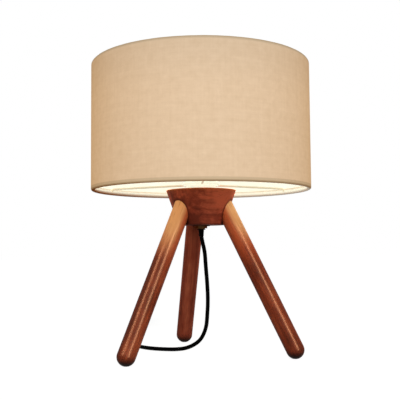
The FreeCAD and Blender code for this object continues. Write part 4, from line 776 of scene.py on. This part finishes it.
# the floor and the world look white, and light the lamp less than that
FLOOR_TONE, FLOOR_GLOW, WORLD_LIGHT = 0.22, 0.93, 0.33
WHITE = (1, 1, 1, 1)
white, nodes, links = new_material("white_floor")
nodes.clear()
diffuse = nodes.new("ShaderNodeBsdfDiffuse")
diffuse.inputs["Color"].default_value = (FLOOR_TONE, FLOOR_TONE, FLOOR_TONE, 1)
glow = nodes.new("ShaderNodeEmission")
glow.inputs["Color"].default_value = WHITE
strength = nodes.new("ShaderNodeMath")
strength.operation = "MULTIPLY"
strength.inputs[1].default_value = FLOOR_GLOW
links.new(plainly_seen(nodes, links), strength.inputs[0])
links.new(strength.outputs[0], glow.inputs["Strength"])
both = nodes.new("ShaderNodeAddShader")
links.new(diffuse.outputs[0], both.inputs[0])
links.new(glow.outputs[0], both.inputs[1])
output = nodes.new("ShaderNodeOutputMaterial")
links.new(both.outputs[0], output.inputs["Surface"])
floor_data.materials.append(white)

world = bpy.data.worlds.new("studio")
scene.world = world
world.use_nodes = True
nodes, links = world.node_tree.nodes, world.node_tree.links
nodes.clear()
choice = nodes.new("ShaderNodeMixShader")
links.new(plainly_seen(nodes, links), choice.inputs[0])
for socket, brightness in ((1, WORLD_LIGHT), (2, 1.0)):
    background = nodes.new("ShaderNodeBackground")
    background.inputs["Color"].default_value = WHITE
    background.inputs["Strength"].default_value = brightness
    links.new(background.outputs[0], choice.inputs[socket])
output = nodes.new("ShaderNodeOutputWorld")
links.new(choice.outputs[0], output.inputs["Surface"])


def area_light(name, at, target, size, radiance, colour=(1, 1, 1), shape="RECTANGLE"):
    """A soft light whose face is as bright as radiance says, where 1 is white."""
    data = bpy.data.lights.new(name, "AREA")
    data.shape = shape
    data.size, data.size_y = size
    face = math.pi / 4 * size[0] ** 2 if shape == "DISK" else size[0] * size[1]
    data.energy = radiance * math.pi * face
    data.color = colour
    lamp = bpy.data.objects.new(name, data)
    lamp.location = at
    lamp.rotation_euler = (Vector(target) - Vector(at)).to_track_quat("-Z", "Y").to_euler()
    lamp.visible_camera = False
    scene.collection.objects.link(lamp)
    return lamp


def around(azimuth, elevation, distance):
    """A place seen from the legs' middle; azimuth 0 is the camera's side and 90 is +X."""
    a, e = math.radians(azimuth), math.radians(elevation)
    return (distance * math.sin(a) * math.cos(e), -distance * math.cos(a) * math.cos(e),
            0.1 + distance * math.sin(e))


def light_only(lamp, pieces, state="INCLUDE"):
    """Light linking: the lamp lights these pieces alone, or with EXCLUDE everything but these."""
    group = bpy.data.collections.new(lamp.name + "_receivers")
    for piece in pieces:
        group.objects.link(piece)
    for entry in group.collection_objects:
        entry.light_linking.link_state = state
    lamp.light_linking.receiver_collection = group


# a broad soft key from the front
key = area_light("key", (0.22, -2.45, 1.05), (0, 0, 0.25), (1.7, 1.7), 3.75)
key.visible_glossy = False
# two tall lights that only the gloss of the wood answers to
STREAK_DISTANCE, STREAK_COLOUR = 3.0, (1.0, 0.52, 0.27)
for name, azimuth, elevation, size, radiance in (
        ("streak_right", 32, 22, (0.8, 2.2), 104.0), ("streak_left", -45, 40, (1.2, 1.8), 66.0)):
    lamp = area_light(name, around(azimuth, elevation, STREAK_DISTANCE), (0, 0, 0.1), size, radiance,
                      STREAK_COLOUR)
    lamp.visible_diffuse = False
    light_only(lamp, wooden)
# the lit inside of the shade, as the gloss of the hub shows it
SHADE_MOUTH, MOUTH_SIZE = (0, 0, 0.2294), (0.29, 0.29)
shine = area_light("shine", SHADE_MOUTH, (0, 0, 0), MOUTH_SIZE, 14.0, (1.0, 0.62, 0.24), "DISK")
shine.visible_diffuse = False
light_only(shine, wooden[:1])
# what comes down through the shade's open end, on the legs' upper ends
spill = area_light("spill", SHADE_MOUTH, (0, 0, 0), MOUTH_SIZE, 0.95, (1.0, 0.92, 0.83), "DISK")
spill.visible_glossy = False
light_only(spill, wooden[1:])
# the bulb's own light, which leaves out its globe
BULB_GLOBE, BULB_RADIANCE = 0.031, 12.0
bulb_data = bpy.data.lights.new("bulb_light", "POINT")
bulb_data.shadow_soft_size = BULB_GLOBE
bulb_data.energy = BULB_RADIANCE * math.pi * 4 * math.pi * BULB_GLOBE ** 2
bulb_data.color = (1.0, 0.82, 0.60)
bulb_light = bpy.data.objects.new("bulb_light", bulb_data)
bulb_light.location = (0, 0, 0.315)
bulb_light.visible_camera = False
scene.collection.objects.link(bulb_light)
light_only(bulb_light, [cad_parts["bulb_globe"]], "EXCLUDE")

bpy.context.view_layer.update()
